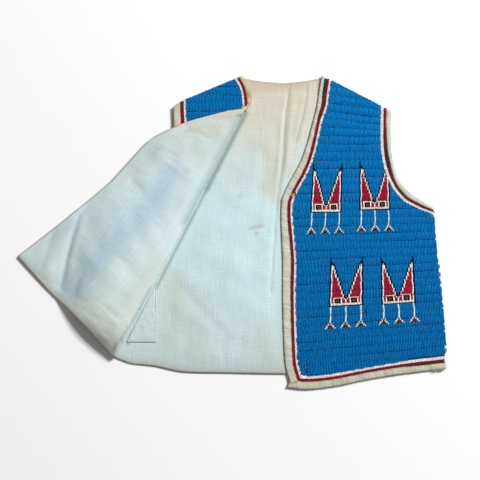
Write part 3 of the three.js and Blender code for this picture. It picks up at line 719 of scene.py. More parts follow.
def chartFigure(names, x, row, figure):
    # An M of two tall triangles over small squares, on three legs with open feet.
    last, top, band = figureSize["lastString"], figureSize["topRow"], figureSize["bandRows"]
    middle = last // 2
    u = np.round((x - figure["left"]) / beadSize["stringStep"]).astype(int)
    v = row - round((figure["foot"] - beadSize["firstLine"]) / beadStep)  # rows up from the foot line
    fromEdge = np.minimum(u, last - u)
    diagonal = (top - 1 - v) // 4 + 1
    body = (fromEdge >= 0) & (v >= 0) & (v <= top)
    names[(fromEdge == -1) & (v >= -1) & (v <= 46)] = "black"
    names[(fromEdge >= 0) & (fromEdge == diagonal + 1) & (v >= band) & (v < top)] = "black"
    names[((fromEdge == 0) & (v >= 40) & (v <= 42)) | ((fromEdge == 1) & (v >= 39) & (v <= 40))] = "black"
    names[(u == middle) & (v >= band) & (v <= band + 1)] = "black"
    names[(fromEdge >= -1) & (v == -1)] = "black"
    names[body & (fromEdge < np.maximum(diagonal, (v < band) * middle)) & (fromEdge > 0)] = "rose"
    names[body & ((fromEdge == 0) | ((fromEdge == diagonal) & (v >= band)))] = "white"
    names[body & (u == middle) & (v < band)] = "white"
    square = body & (v >= 2) & (v <= 7) & (fromEdge >= 2) & (fromEdge <= 7)
    names[square] = "white"
    names[square & (v <= 6) & (fromEdge >= 3) & (fromEdge <= 6)] = "black"
    names[square & (v >= 3) & (v <= 5) & (fromEdge >= 4) & (fromEdge <= 5)] = "brown"
    names[body & (v <= 1)] = "white"
    down = figure["ankle"] - v
    for leg in (0, middle, last):
        off = np.abs(u - leg)
        names[(off == 0) & (v < -1) & (down < 0)] = "white"
        foot = (off <= 3) & (down >= 2 * off) & (down <= 6)
        names[foot] = "rose"
        names[foot & (down >= 4) & ((u + v) % 2 == 0)] = "brown"
        names[foot & (down >= 4) & ((u + v) % 2 == 1)] = "black"
        names[foot & (down <= 2 * off + 1)] = "white"
    return names


# The sewn face under the beads shows between them, painted dark for the shade there.
leftField = {
    "spans": ((-16, 290), (-45, 500)), "base": 4.95, "arch": 1.7, "scallop": 2.2,
    "ground": (4.2, 5.0), "flat": (0.25, 0.47), "cuts": (-40, 92, 187, 285, 480),
    "broken": [(365.2, 309, 316), (306.6, 364, 373)], "missing": 0.0012,
}


def dressLeftFront():
    look = leftField
    names = "ground", "blue_beads", "left_front_beadwork"
    layFlat("leftBeadGround", fieldOutline(-1.5), *look["ground"], *names, look["flat"], "leftHide")
    centres, axes, x, row, wide = laneBeads(
        *look["spans"], fieldOutline(-0.3), look["base"], look["arch"], laneTilt, stringFan["share"],
        look["scallop"],
    )
    names = np.full(len(x), "blue", dtype="<U8")
    for figure in figures:
        names = chartFigure(names, x, row, figure)
    # A few strings have broken and gone.
    gone = np.zeros(len(x), bool)
    for px, topY, lowY in look["broken"]:
        spotX, high = fromPhoto(px, topY)
        low = fromPhoto(px, lowY)[1]
        gone |= (np.abs(centres[:, 0] - spotX) < 1.2) & (centres[:, 1] < high) & (centres[:, 1] > low)
    keep = ~gone & (rng.random(len(x)) > look["missing"])
    centres, axes, names, wide = centres[keep], axes[keep], names[keep], wide[keep]
    shades = beadShades(names, centres[:, 1])
    plain = names == "blue"
    parts = {"leftFigureBeads": ~plain}
    for k, (low, high) in enumerate(zip(look["cuts"][:-1], look["cuts"][1:])):
        parts[f"leftFieldBeads{k + 1}"] = plain & (centres[:, 1] >= low) & (centres[:, 1] < high)
    for name, part in parts.items():
        layBeads(name, centres[part], axes[part], shades[part], "blue_beads", across=wide[part])
        print(name, int(part.sum()))


# Border rows: short strings across the edge, from the binding inwards.
borderWear = [
    (314, 158, 1.6), (310, 168, 1.6), (306.5, 175, 2.0), (303, 184, 3.0), (293.5, 195, 4.6),
    (299.5, 361, 3.0),
]


def borderBeads(path, widths, base, line, side=1.0, seed=3):
    # Strings of beads that stand across a cut edge, in rows from the binding inwards.
    places = np.random.default_rng(seed)
    centres, axes, names, lengths = [], [], [], []
    start = widths["binding"]
    for name in ("green", "maroon", "white"):
        width = widths[name]
        count = max(int(round(np.median(width[width > 0.5]) / 1.5)), 1) if (width > 0.5).any() else 0
        for k in range(count):
            at = inset(path, side * (start + width * (k + 0.5) / count))
            spots = evenly(np.column_stack([at, width / count]), beadSize["stringStep"])
            at, each = spots[:, :2] + places.normal(0, 0.1, (len(spots), 2)), spots[:, 2]
            normal = moved(spots[:, :2], side) - spots[:, :2]
            keep = (below(at, line) > 0.5) & (each * count > 0.7) & (at[:, 0] < sideAt(at[:, 1]) - 0.3)
            centres.append(np.column_stack([at, np.full(len(at), base)])[keep])
            axes.append(np.column_stack([normal, np.zeros(len(at))])[keep])
            names.append(np.full(int(keep.sum()), name, dtype="<U8"))
            lengths.append(each[keep])
        start = start + width
    return np.vstack(centres), np.vstack(axes), np.concatenate(names), np.concatenate(lengths)


def unworn(centres):
    # Which beads are left where the edge has worn.
    keep = np.ones(len(centres), bool)
    for px, py, radius in borderWear:
        x, y = fromPhoto(px, py)
        gap = np.hypot(centres[:, 0] - x, centres[:, 1] - y)
        keep &= gap > radius * rng.uniform(0.7, 1.25, len(centres))
    return keep


# The borders of the shoulder above the fold.
shown = (armPath[:, 1] > 375) & (armPath[:, 1] < 424)
yokeArm = prolonged((armPath[shown] * [-1, 1])[::-1], 24, 0)
yokeNeck = prolonged(curved(cutEdge["yokeNeck"], pathStep), 9, 6)
yokeArmBorder = {"binding": 10.8, "green": 0.0, "maroon": 4.9, "white": 3.4}
neckRows = [(238.6, 77), (239.8, 79), (243.3, 85), (245.6, 92), (246.6, 98.5), (247.0, 105.5)]
neckRows = curved([fromPhoto(*spot) for spot in neckRows], pathStep)
yokeNeckBorder = {"binding": 0.0, "green": 0.0, "maroon": 4.2, "white": 3.2}
rowHeights = {"left": 5.3, "yoke": 6.5}


def evenWidths(path, border):
    return {key: np.full(len(path), width) for key, width in border.items()}


def rowNodes(side, edges):
    return [f"{side}_{edge}_{row}_row" for edge in edges for row in ("maroon", "white")]


def dressBorders():
    level = rowHeights["left"]
    sets = [
        borderBeads(frontPath, frontBorder, level, leftShoulder, seed=5),
        borderBeads(armPath, armBorder, level, leftShoulder, seed=6),
    ]
    centres, axes, names, lengths = (np.concatenate(group) for group in zip(*sets))
    keep = unworn(centres)
    laid = centres[keep], axes[keep], beadShades(names, centres[:, 1])[keep]
    replaced = rowNodes("left", ("front", "armhole"))
    layBeads("leftBorderBeads", *laid, "white_beads", replaced, length=lengths[keep])
    level = rowHeights["yoke"]
    sets = [
        borderBeads(yokeArm, evenWidths(yokeArm, yokeArmBorder), level, yokeShoulder, seed=7),
        borderBeads(neckRows, evenWidths(neckRows, yokeNeckBorder), level, yokeShoulder, -1.0, seed=8),
    ]
    centres, axes, names, lengths = (np.concatenate(group) for group in zip(*sets))
    shades = beadShades(names, centres[:, 1])
    replaced = rowNodes("right", ("armhole", "neck"))
    layBeads("yokeBorderBeads", centres, axes, shades, "white_beads", replaced, length=lengths)


# The fold of the right front: the same line and tables as its solids.
fold = {
    "start": np.array([-56, 428.8]),
    "along": np.array([-0.4632, -0.8863]),
    "across": np.array([-0.8863, 0.4632]),
    "curlStart": 20.0,
    "edge": [
        (0, 4), (20, 24), (65.9, 74.6), (117.3, 113.8), (205, 136.5), (295, 175), (380.8, 214.2),
        (410, 135.7), (416, 105.9), (428, 64.8), (443.5, 24.3), (452, 1.5),
    ],
    "crest": [(0, 11.9), (120, 12.8), (208, 15.5), (320, 23), (400, 28), (428, 25), (443, 15), (452, 9)],
    "floor": [(0, 150), (117, 127), (205, 150), (266, 155), (328, 147), (382, 131), (405, 126), (452, 120)],
    "ripples": [(2.6, 161, 14, 250, 400), (-1.6, 106, 9, 350, 425), (1.4, 88, 13, 90, 210)],
    "restRise": 1.3,
    "grainTurn": 14.0,
}


def toFold(points):
    away = np.asarray(points, float) - fold["start"]
    return np.stack([away @ fold["along"], away @ fold["across"]], -1)


def fromFold(along, across):
    along, across = np.asarray(along, float)[..., None], np.asarray(across, float)[..., None]
    return fold["start"] + along * fold["along"] + across * fold["across"]


def softTable(rows, blur):
    # A table read at any value, with its corners softened.
    rows = np.array(sorted(map(tuple, rows)), float)
    grid = np.arange(-60, 520, 1.0)
    values = np.interp(grid, rows[:, 0], rows[:, 1])
    if blur:
        reach = np.arange(-3 * blur, 3 * blur + 1)
        kernel = np.exp(-0.5 * (reach / blur) ** 2)
        padded = np.pad(values, len(reach) // 2, mode="edge")
        values = np.convolve(padded, kernel / kernel.sum(), "valid")
    return lambda at: np.interp(at, grid, values)


armEdge = curved(cutEdge["armhole"], pathStep)
mirroredLower = np.vstack([yokeShoulder[4:0:-1], armEdge[::-1] * [-1, 1], sidePath[::-1][1:] * [-1, 1]])
lowerTable = softTable(toFold(mirroredLower), 1)
crestTable = softTable(fold["crest"], 8)
floorTable = softTable(fold["floor"], 16)
earlyEdge = softTable(fold["edge"], 7)
sharpEdge = softTable(fold["edge"], 0)
neckTable = softTable(np.vstack([toFold(curved(cutEdge["yokeNeck"][:5], 4)), [[0, 1]]]), 0)


def edgeTable(along):
    # How far the front edge lies from the fold.
    share = ease(330, 360, along)
    late = ease(392, 402, along) * (1 - ease(436, 446, along))
    lateEdge = sharpEdge(along) * (1 - late) + earlyEdge(along) * late
    return earlyEdge(along) * (1 - share) + lateEdge * share


def foldAt(along):
    # The section across the fold: how high it is, its roll's radius, where its leg ends, and their lengths.
    crest = crestTable(along)
    radius = (crest - heights["frontBase"]) / 2
    lower = np.maximum(lowerTable(along), 2.5)
    leg = np.maximum(lower - radius, 0)
    startTurn = np.where(lower < radius, np.arcsin(np.clip((radius - lower) / radius, 0, 1)), 0)
    return crest, radius, lower, leg, startTurn, (math.pi - startTurn) * radius


def flapTop(along, across):
    # The height of the folded front's upper side.
    crest, radius, lower = foldAt(along)[:3]
    floor = floorTable(along)
    start = np.minimum(np.maximum(lower + 5, radius), floor - 30)
    share = np.clip((across - start) / (floor - start), 0, 1)
    clear = np.where(along < 70, 0, ease(70, 110, along))
    height = crest + (heights["stack"] - crest) * clear * (1 - np.cos(math.pi / 2 * share))
    for rise, middle, width, first, last in fold["ripples"]:
        within = ease(first, first + 40, along) * (1 - ease(last - 25, last, along))
        height = height + rise * within * np.exp(-(((across - middle) / width) ** 2))
    return height


def lengthTo(along, across):
    # The length of the cloth from the seam, round the roll, to a place on the upper side.
    _, radius, _, leg, startTurn, roll = foldAt(along)
    turn = math.pi - np.arcsin(np.clip((radius - across) / radius, 0, 1))
    return np.where(across >= radius, leg + roll + across - radius, leg + (turn - startTurn) * radius)


def sectionLength(along):
    # The cloth's whole length on a section, which starts to curl below the neck.
    flat = foldAt(along)[2] - neckTable(along)
    full = foldAt(fold["curlStart"])
    fullLength = lengthTo(fold["curlStart"], edgeTable(fold["curlStart"])) - full[2]
    curling = foldAt(along)[2] - 1 + (fullLength + 1) * along / fold["curlStart"]
    whole = lengthTo(along, edgeTable(along))
    return np.where(along <= 0, flat, np.where(along < fold["curlStart"], curling, whole))


def foldedPoints(along, length, depth):
    # Points of the folded front at a length along its section, and the plan place of each.
    _, radius, lower, leg, startTurn, roll = foldAt(along)
    flat = (along <= 0) | (length <= leg)
    turn = startTurn + (length - leg) / radius
    rolled = ~flat & (turn < math.pi)
    onTop = ~flat & ~rolled
    topAcross = radius + length - leg - roll
    slope = (flapTop(along, topAcross + 1) - flapTop(along, topAcross - 1)) / 2
    size = np.hypot(slope, 1)
    across = np.where(flat, lower - length, np.where(rolled, radius - radius * np.sin(turn), topAcross))
    lifted = np.where(rolled, heights["frontBase"] + radius * (1 - np.cos(turn)), flapTop(along, topAcross))
    height = np.where(flat, heights["frontBase"], lifted)
    normalAcross = np.where(flat, 0, np.where(rolled, -np.sin(turn), -slope / size))
    normalHeight = np.where(flat, -1, np.where(rolled, -np.cos(turn), 1 / size))
    places = fromFold(along, across - normalAcross * depth)
    return np.concatenate([places, (height - normalHeight * depth)[..., None]], -1), onTop, across


# Creases pressed into the flap: a line in the photo's frame, its width there, and its depth in millimetres.
flapCreases = [
    ([(83, 205), (78, 222), (70, 245), (66, 262), (62, 287)], 2.2, -1.5),
    ([(86, 210), (80, 232), (73, 255), (69, 280)], 3.4, 1.2),
    ([(58, 225), (50, 245), (42, 272)], 4.0, -0.9),
    ([(82, 275), (75, 295)], 2.4, -1.2),
    ([(185, 131), (197, 133), (208, 138)], 2.2, -1.2),
    ([(156, 147), (166, 153), (176, 158)], 2.8, -1.1),
    ([(160, 157), (170, 164), (178, 170)], 2.8, 1.0),
    ([(128, 178), (140, 188), (148, 199)], 3.4, -0.8),
    ([(205, 118), (222, 122), (236, 118)], 2.8, -0.8),
    ([(100, 300), (118, 316), (132, 322)], 2.8, -0.8),
    ([(112, 250), (124, 262), (134, 270)], 4.0, -0.6),
    ([(60, 228), (96, 258), (128, 296)], 9.0, 0.6),
    ([(150, 290), (138, 314), (122, 338)], 3.0, -1.4),
    ([(146, 286), (133, 310), (119, 333)], 4.0, 1.0),
    ([(122, 338), (112, 350)], 2.6, -1.2),
    ([(122, 338), (127, 358)], 2.6, -1.2),
]


def creased(points, creases):
    total = np.zeros(len(points))
    for line, width, depth in creases:
        gap, share = awayFrom(points, np.array([fromPhoto(*spot) for spot in line]))
        taper = np.sin(math.pi * np.clip(share, 0.04, 0.96)) ** 0.5
        total += depth * np.exp(-((gap / (width * layout["pixel"])) ** 2)) * taper
    return total


def tinted(points, base, stainsAndShade):
    # Cloth colour: a base by height, then soft stains, faded bands, painted shade and painted light laid
    # over it.
    levels = np.array([level for level, _ in base], float)
    shades = np.array([tone(*shade) for _, shade in base])
    order = np.argsort(levels)
    result = np.stack([np.interp(points[:, 1], levels[order], shades[order, k]) for k in range(3)], 1)
    for seed, (line, width, shade, strength) in enumerate(stainsAndShade):
        line = np.array([fromPhoto(*spot) for spot in line])
        gap = np.linalg.norm(points - line[0], axis=1) if len(line) == 1 else awayFrom(points, line)[0]
        rough = 1 + 0.13 * softNoise(points, 46, 40 + seed)
        mask = strength * np.exp(-((gap / (width * layout["pixel"] * rough)) ** 2))
        result = result + (np.array(tone(*shade)) - result) * np.clip(mask, 0, 1)[:, None]
    return result


def shaded(tints, mask, shade):
    return tints + (np.array(tone(*shade)) - tints) * np.clip(mask, 0, 0.9)[:, None]


# Stains and painted light and shade: each a line in the photo's frame, its width there, the shade and its
# strength.
flapTints = {
    "base": [
        (-20, (212, 219, 210)), (120, (209, 219, 213)), (260, (202, 219, 221)), (330, (204, 219, 217)),
        (420, (203, 211, 205)),
    ],
    "stainsAndShade": [
        # A bluer band: partly less faded cloth, partly painted shade on the slope turned from the light.
        ([(72, 292), (98, 262), (125, 235), (150, 208), (172, 176)], 15, (172, 199, 213), 0.75),
        # Painted light on the slope turned to the lamp.
        ([(118, 296), (150, 262), (182, 218), (206, 170)], 15, (209, 226, 228), 0.75),
        ([(95, 318), (128, 300), (160, 262)], 9, (205, 213, 206), 0.7),
        ([(30, 262), (50, 240), (70, 225)], 14, (188, 207, 209), 0.6),
        ([(110, 330), (118, 345)], 8, (196, 202, 190), 0.7),
        ([(200, 130), (225, 122), (243, 112)], 8, (208, 208, 196), 0.6),
        ([(140, 165), (160, 150)], 7, (188, 205, 208), 0.5),
        # Painted shade on the roll of the fold.
        ([(241, 118), (214, 170), (187, 222)], 4.5, (156, 180, 178), 0.75),
        (
            [(181, 125.2), (190, 121.7), (205, 116.7), (225, 112.5), (244, 110.7)],
            1.3, (226, 200, 160), 0.9,
        ),
        # Painted shade in the creases, from here to the end of the list.
        ([(151, 287), (139, 311), (123, 337)], 1.5, (140, 164, 164), 0.6),
        ([(123, 337), (113, 350)], 1.1, (140, 160, 158), 0.6),
        ([(123, 337), (126, 356)], 1.1, (140, 160, 158), 0.6),
        ([(81, 214), (74, 236), (68, 262), (62, 288)], 1.4, (146, 174, 182), 0.55),
        ([(57, 228), (50, 246), (44, 268)], 1.6, (158, 182, 186), 0.4),
        ([(78, 282), (72, 298)], 1.2, (150, 176, 180), 0.45),
        ([(186, 132), (197, 134), (208, 139)], 1.2, (158, 176, 172), 0.5),
        ([(157, 149), (167, 156), (178, 164)], 1.3, (160, 182, 184), 0.5),
    ],
}


def flapLengths(a):
    # Lengths of the points on each section, grouped by leg, roll and top.
    leg, roll, top = 5, 14, 72
    whole = sectionLength(a)
    legLength, _, rollLength = foldAt(a)[3:]
    whole = whole - 1.3 * ease(4, 16, a) * (1 - ease(60, 85, a))
    rollStart = np.clip(legLength, 0.1 * whole, 0.8 * whole)
    rollEnd = np.maximum(legLength + rollLength, rollStart + 0.3 * (whole - rollStart))
    rollEnd = np.minimum(rollEnd, 0.9 * whole)
    grouped = np.concatenate([
        rollStart * np.linspace(0, 1, leg, endpoint=False),
        rollStart + (rollEnd - rollStart) * np.linspace(0, 1, roll, endpoint=False),
        rollEnd + (whole - rollEnd) * np.linspace(0, 1, top),
    ], 1)
    even = whole * np.linspace(0, 1, leg + roll + top)
    return even + (grouped - even) * np.clip(a / fold["curlStart"], 0, 1)


# The folded front's layers: how deep their two faces lie, and the part of the grid that each takes.
flapLayers = {
    "flapLining": {
        "depths": (0.0, 1.0), "rows": "all", "columns": slice(None),
        "finish": "lining", "slot": "lining", "node": "right_front_lining",
        "flat": (0.262, 0.497), "area": 0.096, "under": "flapHide",
    },
    "flapHide": {
        "depths": (1.3, 2.3), "rows": "all", "columns": slice(None),
        "finish": "hide", "slot": "hide", "node": "right_front",
        "flat": (0.262, 0.497), "area": 0.096, "under": "back_lining",
    },
    "flapBeads": {
        "depths": (2.6, 4.1), "rows": "beaded", "columns": slice(5, -4),
        "finish": "foldedBeads", "slot": "blue_beads", "node": "right_front_beadwork",
        "flat": (0.24, 0.45), "area": 0.06, "under": "flapHide",
    },
    "flapBinding": {
        "depths": (2.6, 3.9), "rows": "beaded", "columns": slice(-4, None),
        "finish": "backCloth", "slot": "binding", "node": "right_front_binding",
        "flat": (0.42, 0.012), "area": 0.0026, "under": "flapHide",
    },
}
flapGrid = {
    "sections": [(-34, 0, 10), (0, 20, 11), (20, 380.8, 96), (380.8, 451, 36)],
    "beaded": (20, 422), "rawEnd": 438, "hemSoil": (372, 384),
}


def dressFlap():
    # Lining, hide, beads and binding lie on each other and share each crease.
    a = np.unique(np.concatenate([np.linspace(*run) for run in flapGrid["sections"]]))[:, None]
    lengths = flapLengths(a)
    grid = np.broadcast_to(a, lengths.shape)
    outer, onTop, across = foldedPoints(grid, lengths, 0.0)
    radius, lower = foldAt(a)[1], foldAt(a)[2]
    plan = outer[..., :2].reshape(-1, 2)
    edgeLine = np.array(fold["edge"], float)
    toEdge = awayFrom(np.stack([grid, across], -1).reshape(-1, 2), edgeLine[2:])[0]
    wobble = creased(plan, flapCreases) + 0.4 * softNoise(plan, 46, 11) + 0.16 * softNoise(plan, 17, 12)
    wobble = (wobble + fold["restRise"]) * (0.3 + 0.7 * ease(0, 14, toEdge))
    wobble = wobble.reshape(lengths.shape) * ease(0, 12, across - radius) * onTop
    wobble = np.where(onTop, np.maximum(wobble, heights["stack"] + 0.02 - outer[..., 2]), wobble)
    unfolded = fromFold(grid, lower - lengths).reshape(-1, 2)
    turn = math.radians(fold["grainTurn"])
    turned = [[math.cos(turn), math.sin(turn)], [-math.sin(turn), math.cos(turn)]]
    unfolded = unfolded @ np.array(turned)
    toEdge = np.where(onTop.ravel() | (grid.ravel() > flapGrid["rawEnd"]), toEdge, 40)
    tints = tinted(plan, flapTints["base"], flapTints["stainsAndShade"])
    tints = shaded(tints, 0.75 * np.exp(-((toEdge / 1.5) ** 2)), (128, 96, 62))
    hemSoil = 0.4 * np.exp(-((toEdge / 7) ** 2)) * ease(*flapGrid["hemSoil"], grid.ravel())
    tints = shaded(tints, hemSoil, (160, 140, 110))
    first, last = (int((a[:, 0] < limit).sum()) for limit in flapGrid["beaded"])
    rows = {"all": slice(None), "beaded": slice(first, last)}
    for name, layer in flapLayers.items():
        part = (rows[layer["rows"]], layer["columns"])
        faces = []
        for depth in layer["depths"]:
            face = foldedPoints(grid, lengths, depth)[0]
            face[..., 2] = np.maximum(face[..., 2] + wobble, 0.0)
            faces.append(face[part])
        points, corners = shellOf(*faces)
        own = unfolded.reshape(*lengths.shape, 2)[part].reshape(-1, 2)
        shades = tints.reshape(*lengths.shape, 3)[part].reshape(-1, 3)
        own = np.vstack([own, own])
        dyed = np.vstack([shades, shades]) if layer["finish"] == "lining" else None
        names = layer["finish"], layer["slot"], (layer["node"],)
        addPiece(name, points, corners, *names, own, dyed)


backShape = {
    "hem": [
        (-267, 27.6), (-252.3, 21.8), (-238.6, 17.6), (-201.6, 13.4), (-156.8, 4.3), (-89.6, 2.6),
        (4.8, 1), (140, 3), (258, 13.5),
    ],
    "top": [
        (-171, 423), (-157, 436), (-64.3, 475.5), (-46.4, 471), (-19.2, 468.6), (4.8, 466.8), (36.2, 470),
        (63.8, 475.5), (171, 423),
    ],
    "inset": 0.8, "flare": 7.2, "left": -267, "wide": 525, "levels": (30, 408, 118), "columns": 170,
    "thickness": 1.1, "rise": 1.7, "flat": (0.53, 0.474), "area": 0.2,
}
backCreases = [
    ([(291, 84), (286, 112), (282.5, 163), (277.5, 209), (275, 240), (271.5, 292)], 1.8, -1.9),
    ([(286.5, 90), (281.5, 120), (278.5, 165), (273, 212), (270, 250)], 2.8, 1.1),
    ([(296, 86), (290.5, 116), (287, 165), (282, 214), (279, 255), (276, 300)], 2.6, 1.0),
    ([(308, 82), (307.5, 94), (303, 118), (297, 140), (291, 160)], 2.0, -1.3),
    ([(281, 205), (278, 240), (278, 300), (281, 345)], 3.0, -0.9),
    ([(180, 285), (197, 305), (215, 325), (235, 345)], 5.0, -0.8),
    ([(238, 120), (226, 170), (205, 225), (190, 262)], 7.0, -0.6),
    ([(252, 95), (256, 150), (248, 210)], 6.0, 0.6),
    ([(176, 262), (170, 300), (172, 350)], 4.0, -0.7),
    ([(225, 330), (222, 352), (226, 368)], 3.0, -0.6),
    ([(246, 300), (250, 330), (247, 358)], 5.0, 0.5),
]
backTints = {
    "base": [
        (0, (192, 206, 204)), (60, (198, 214, 214)), (160, (203, 224, 226)), (270, (203, 226, 229)),
        (350, (208, 221, 217)), (410, (215, 212, 197)), (470, (214, 206, 186)),
    ],
    "stainsAndShade": [
        ([(262, 140), (270, 165), (268, 190)], 7, (211, 200, 174), 0.5),
        ([(282, 130), (280, 170), (275, 200)], 5, (206, 196, 172), 0.45),
        ([(250, 228), (262, 226)], 1.8, (172, 144, 112), 0.5),
        ([(256, 233)], 2.0, (176, 150, 120), 0.5),
        ([(240, 196)], 2.4, (186, 168, 142), 0.35),
        ([(175, 280), (182, 320), (205, 352)], 13, (196, 206, 197), 0.7),
        ([(200, 300), (222, 330), (246, 350)], 10, (192, 203, 198), 0.5),
        ([(262, 345), (275, 365)], 10, (196, 200, 188), 0.5),
        ([(245, 88), (300, 88)], 6, (198, 184, 152), 0.45),
        ([(226, 215), (246, 260), (256, 305)], 15, (207, 230, 235), 0.6),
        ([(300, 100), (292, 140), (288, 175)], 6, (204, 197, 180), 0.45),
        # Painted shadow of the front's neck edge on the lining.
        ([(320, 79), (318.5, 94)], 1.2, (86, 78, 62), 0.8),
        ([(166, 275), (170, 345)], 8, (208, 214, 206), 0.6),
        ([(222, 300), (230, 352)], 24, (201, 222, 226), 0.6),
        # Painted shadow beside the fold, then painted shade in the creases to the end of the list.
        ([(246, 113), (226, 152), (207, 189)], 2.4, (118, 142, 140), 0.8),
        ([(207, 189), (168, 265), (128, 343)], 1.6, (118, 146, 148), 0.7),
        ([(291, 84), (286, 112), (282.5, 163), (277.5, 209)], 0.9, (150, 150, 138), 0.6),
        ([(277.5, 209), (275, 240), (271.5, 292)], 0.9, (148, 168, 168), 0.5),
        ([(308, 84), (307, 96), (303, 118), (297, 140)], 1.0, (158, 158, 144), 0.5),
    ],
}


def dressBack():
    look = backShape
    cutBack = look["inset"]
    levels = np.linspace(*look["levels"])
    sides = np.vstack([[[258, 13.5]], sidePath[1:], armEdge[1:]])
    sides = sides[np.concatenate([[True], np.diff(np.maximum.accumulate(sides[:, 1])) > 0])]
    edge = np.interp(levels, sides[:, 1], sides[:, 0]) - cutBack
    flare = look["flare"] * np.clip((51 - levels) / 21, 0, 1)
    shares = np.linspace(0, 1, look["columns"])
    x = -(edge + flare)[:, None] + (2 * edge + flare)[:, None] * shares
    rows = [np.stack([x[k], np.full_like(x[k], level)], 1) for k, level in enumerate(levels)]
    hem = curved(look["hem"], 3)
    top = np.array(look["top"], float)
    hemX = look["left"] + cutBack + (look["wide"] - 2 * cutBack) * shares
    hemRow = np.stack([hemX, np.interp(hemX, hem[:, 0], hem[:, 1]) + cutBack], 1)
    between = [hemRow * (1 - t) + rows[0] * t for t in (0, 0.1, 0.25, 0.5, 0.75)]
    neckX = rows[-1][:, 0]
    neckRow = np.stack([neckX, np.interp(neckX, top[:, 0], top[:, 1]) - cutBack], 1)
    above = [rows[-1] * (1 - t) + neckRow * t for t in np.linspace(0, 1, 34)[1:]]
    plan = np.array(between + rows + above)
    flat = plan.reshape(-1, 2)
    foldX = fromFold(toFold(flat)[:, 0], 0)[:, 0]
    frontX = np.interp(flat[:, 1], frontPath[:-120][::-1, 1], frontPath[:-120][::-1, 0])
    besidePatch = np.maximum(ease(-199, -165, flat[:, 0]), ease(166, 200, flat[:, 1]))
    clear = ease(8, 42, flat[:, 0] - foldX) * besidePatch * ease(4, 30, frontX - flat[:, 0])
    clear = clear * ease(4, 34, flat[:, 1]) * (1 - ease(440, 464, flat[:, 1]))
    wobble = creased(flat, backCreases) + 0.45 * softNoise(flat, 60, 21) + 0.2 * softNoise(flat, 22, 22)
    rise = clear * np.maximum(look["rise"] + wobble, 0.05)
    topFace = np.column_stack([flat, heights["lining"] + rise]).reshape(*plan.shape[:2], 3)
    points, corners = shellOf(topFace, topFace - [0, 0, look["thickness"]])
    tints = tinted(flat, backTints["base"], backTints["stainsAndShade"])
    hemGap = awayFrom(flat, hem)[0]
    neckGap = awayFrom(flat, top)[0]
    hemSoil = 0.6 * np.exp(-((hemGap / 2) ** 2)) + 0.3 * np.exp(-((hemGap / 9) ** 2))
    neckSoil = 0.15 * np.exp(-((neckGap / 10) ** 2)) + 0.5 * np.exp(-((neckGap / 2.4) ** 2))
    tints = shaded(tints, hemSoil, (136, 108, 76))
    tints = shaded(tints, neckSoil, (150, 128, 92))
    dyed = np.vstack([tints, tints])
    own = np.vstack([flat, flat])
    lining = addPiece("backLining", points, corners, "lining", "lining", ("back_lining",), own, dyed)


# The patch beside the fold, its edges turned under and a seam across it.
patchShape = {
    "right": -200.5, "low": 52, "high": 156, "seam": 109, "rows": 40, "columns": 16, "lift": 0.5,
    "tones": [(40, (199, 212, 208)), (110, (200, 216, 215)), (170, (201, 217, 217))],
    "flat": (0.056, 0.106), "area": 0.0032,
}


def dressPatch():
    right, low, seamAt = patchShape["right"], patchShape["low"], patchShape["seam"]
    y = np.linspace(low, patchShape["high"], patchShape["rows"])[:, None]
    leftX = fromFold((y - fold["start"][1]) / fold["along"][1], np.zeros_like(y))[..., 0] + 3.4
    x = leftX + (right - leftX) * np.linspace(0, 1, patchShape["columns"])
    plan = np.stack([x, np.broadcast_to(y, x.shape)], -1)
    flat = plan.reshape(-1, 2)
    edgeFall = np.minimum(ease(0, 5, right - flat[:, 0]), ease(0, 5, flat[:, 1] - low))
    seam = np.exp(-(((flat[:, 1] - seamAt) / 1.6) ** 2))
    lift = (patchShape["lift"] + 0.25 * softNoise(flat, 14, 31)) * edgeFall
    height = heights["lining"] + 0.15 + lift - 0.25 * seam
    foot = np.full(len(flat), heights["lining"] + 0.05)
    faces = [np.column_stack([flat, z]).reshape(*plan.shape[:2], 3) for z in (height, foot)]
    points, corners = shellOf(*faces)
    tints = tinted(flat, patchShape["tones"], [])
    # Painted shade along the turned-under edges and in the seam.
    edges = np.exp(-(((flat[:, 0] - right) / 1.8) ** 2)) + np.exp(-(((flat[:, 1] - low) / 1.8) ** 2))
    tints = shaded(tints, 0.12 * edges + 0.12 * seam, (146, 150, 140))
    dyed = np.vstack([tints, tints])
    own = np.vstack([flat, flat])
    patch = addPiece("liningPatch", points, corners, "lining", "lining", ("back_lining_patch",), own, dyed)


# Bindings: muslin turned over an edge, with puckers between its stitches.
bindingKinds = {
    "front": {
        "light": (208, 210, 198), "worn": (188, 182, 164),
        "base": 4.0, "foot": 1.9, "line": leftShoulder, "under": "leftHide",
    },
    "yokeArm": {
        "light": (208, 202, 180), "worn": (186, 174, 144),
        "base": 5.3, "foot": 2.2, "line": yokeShoulder, "under": "flapHide",
    },
    "yokeNeck": {
        "light": (206, 190, 158), "worn": (178, 152, 114),
        "base": 5.3, "foot": 2.2, "line": yokeShoulder, "under": "flapHide",
    },
}


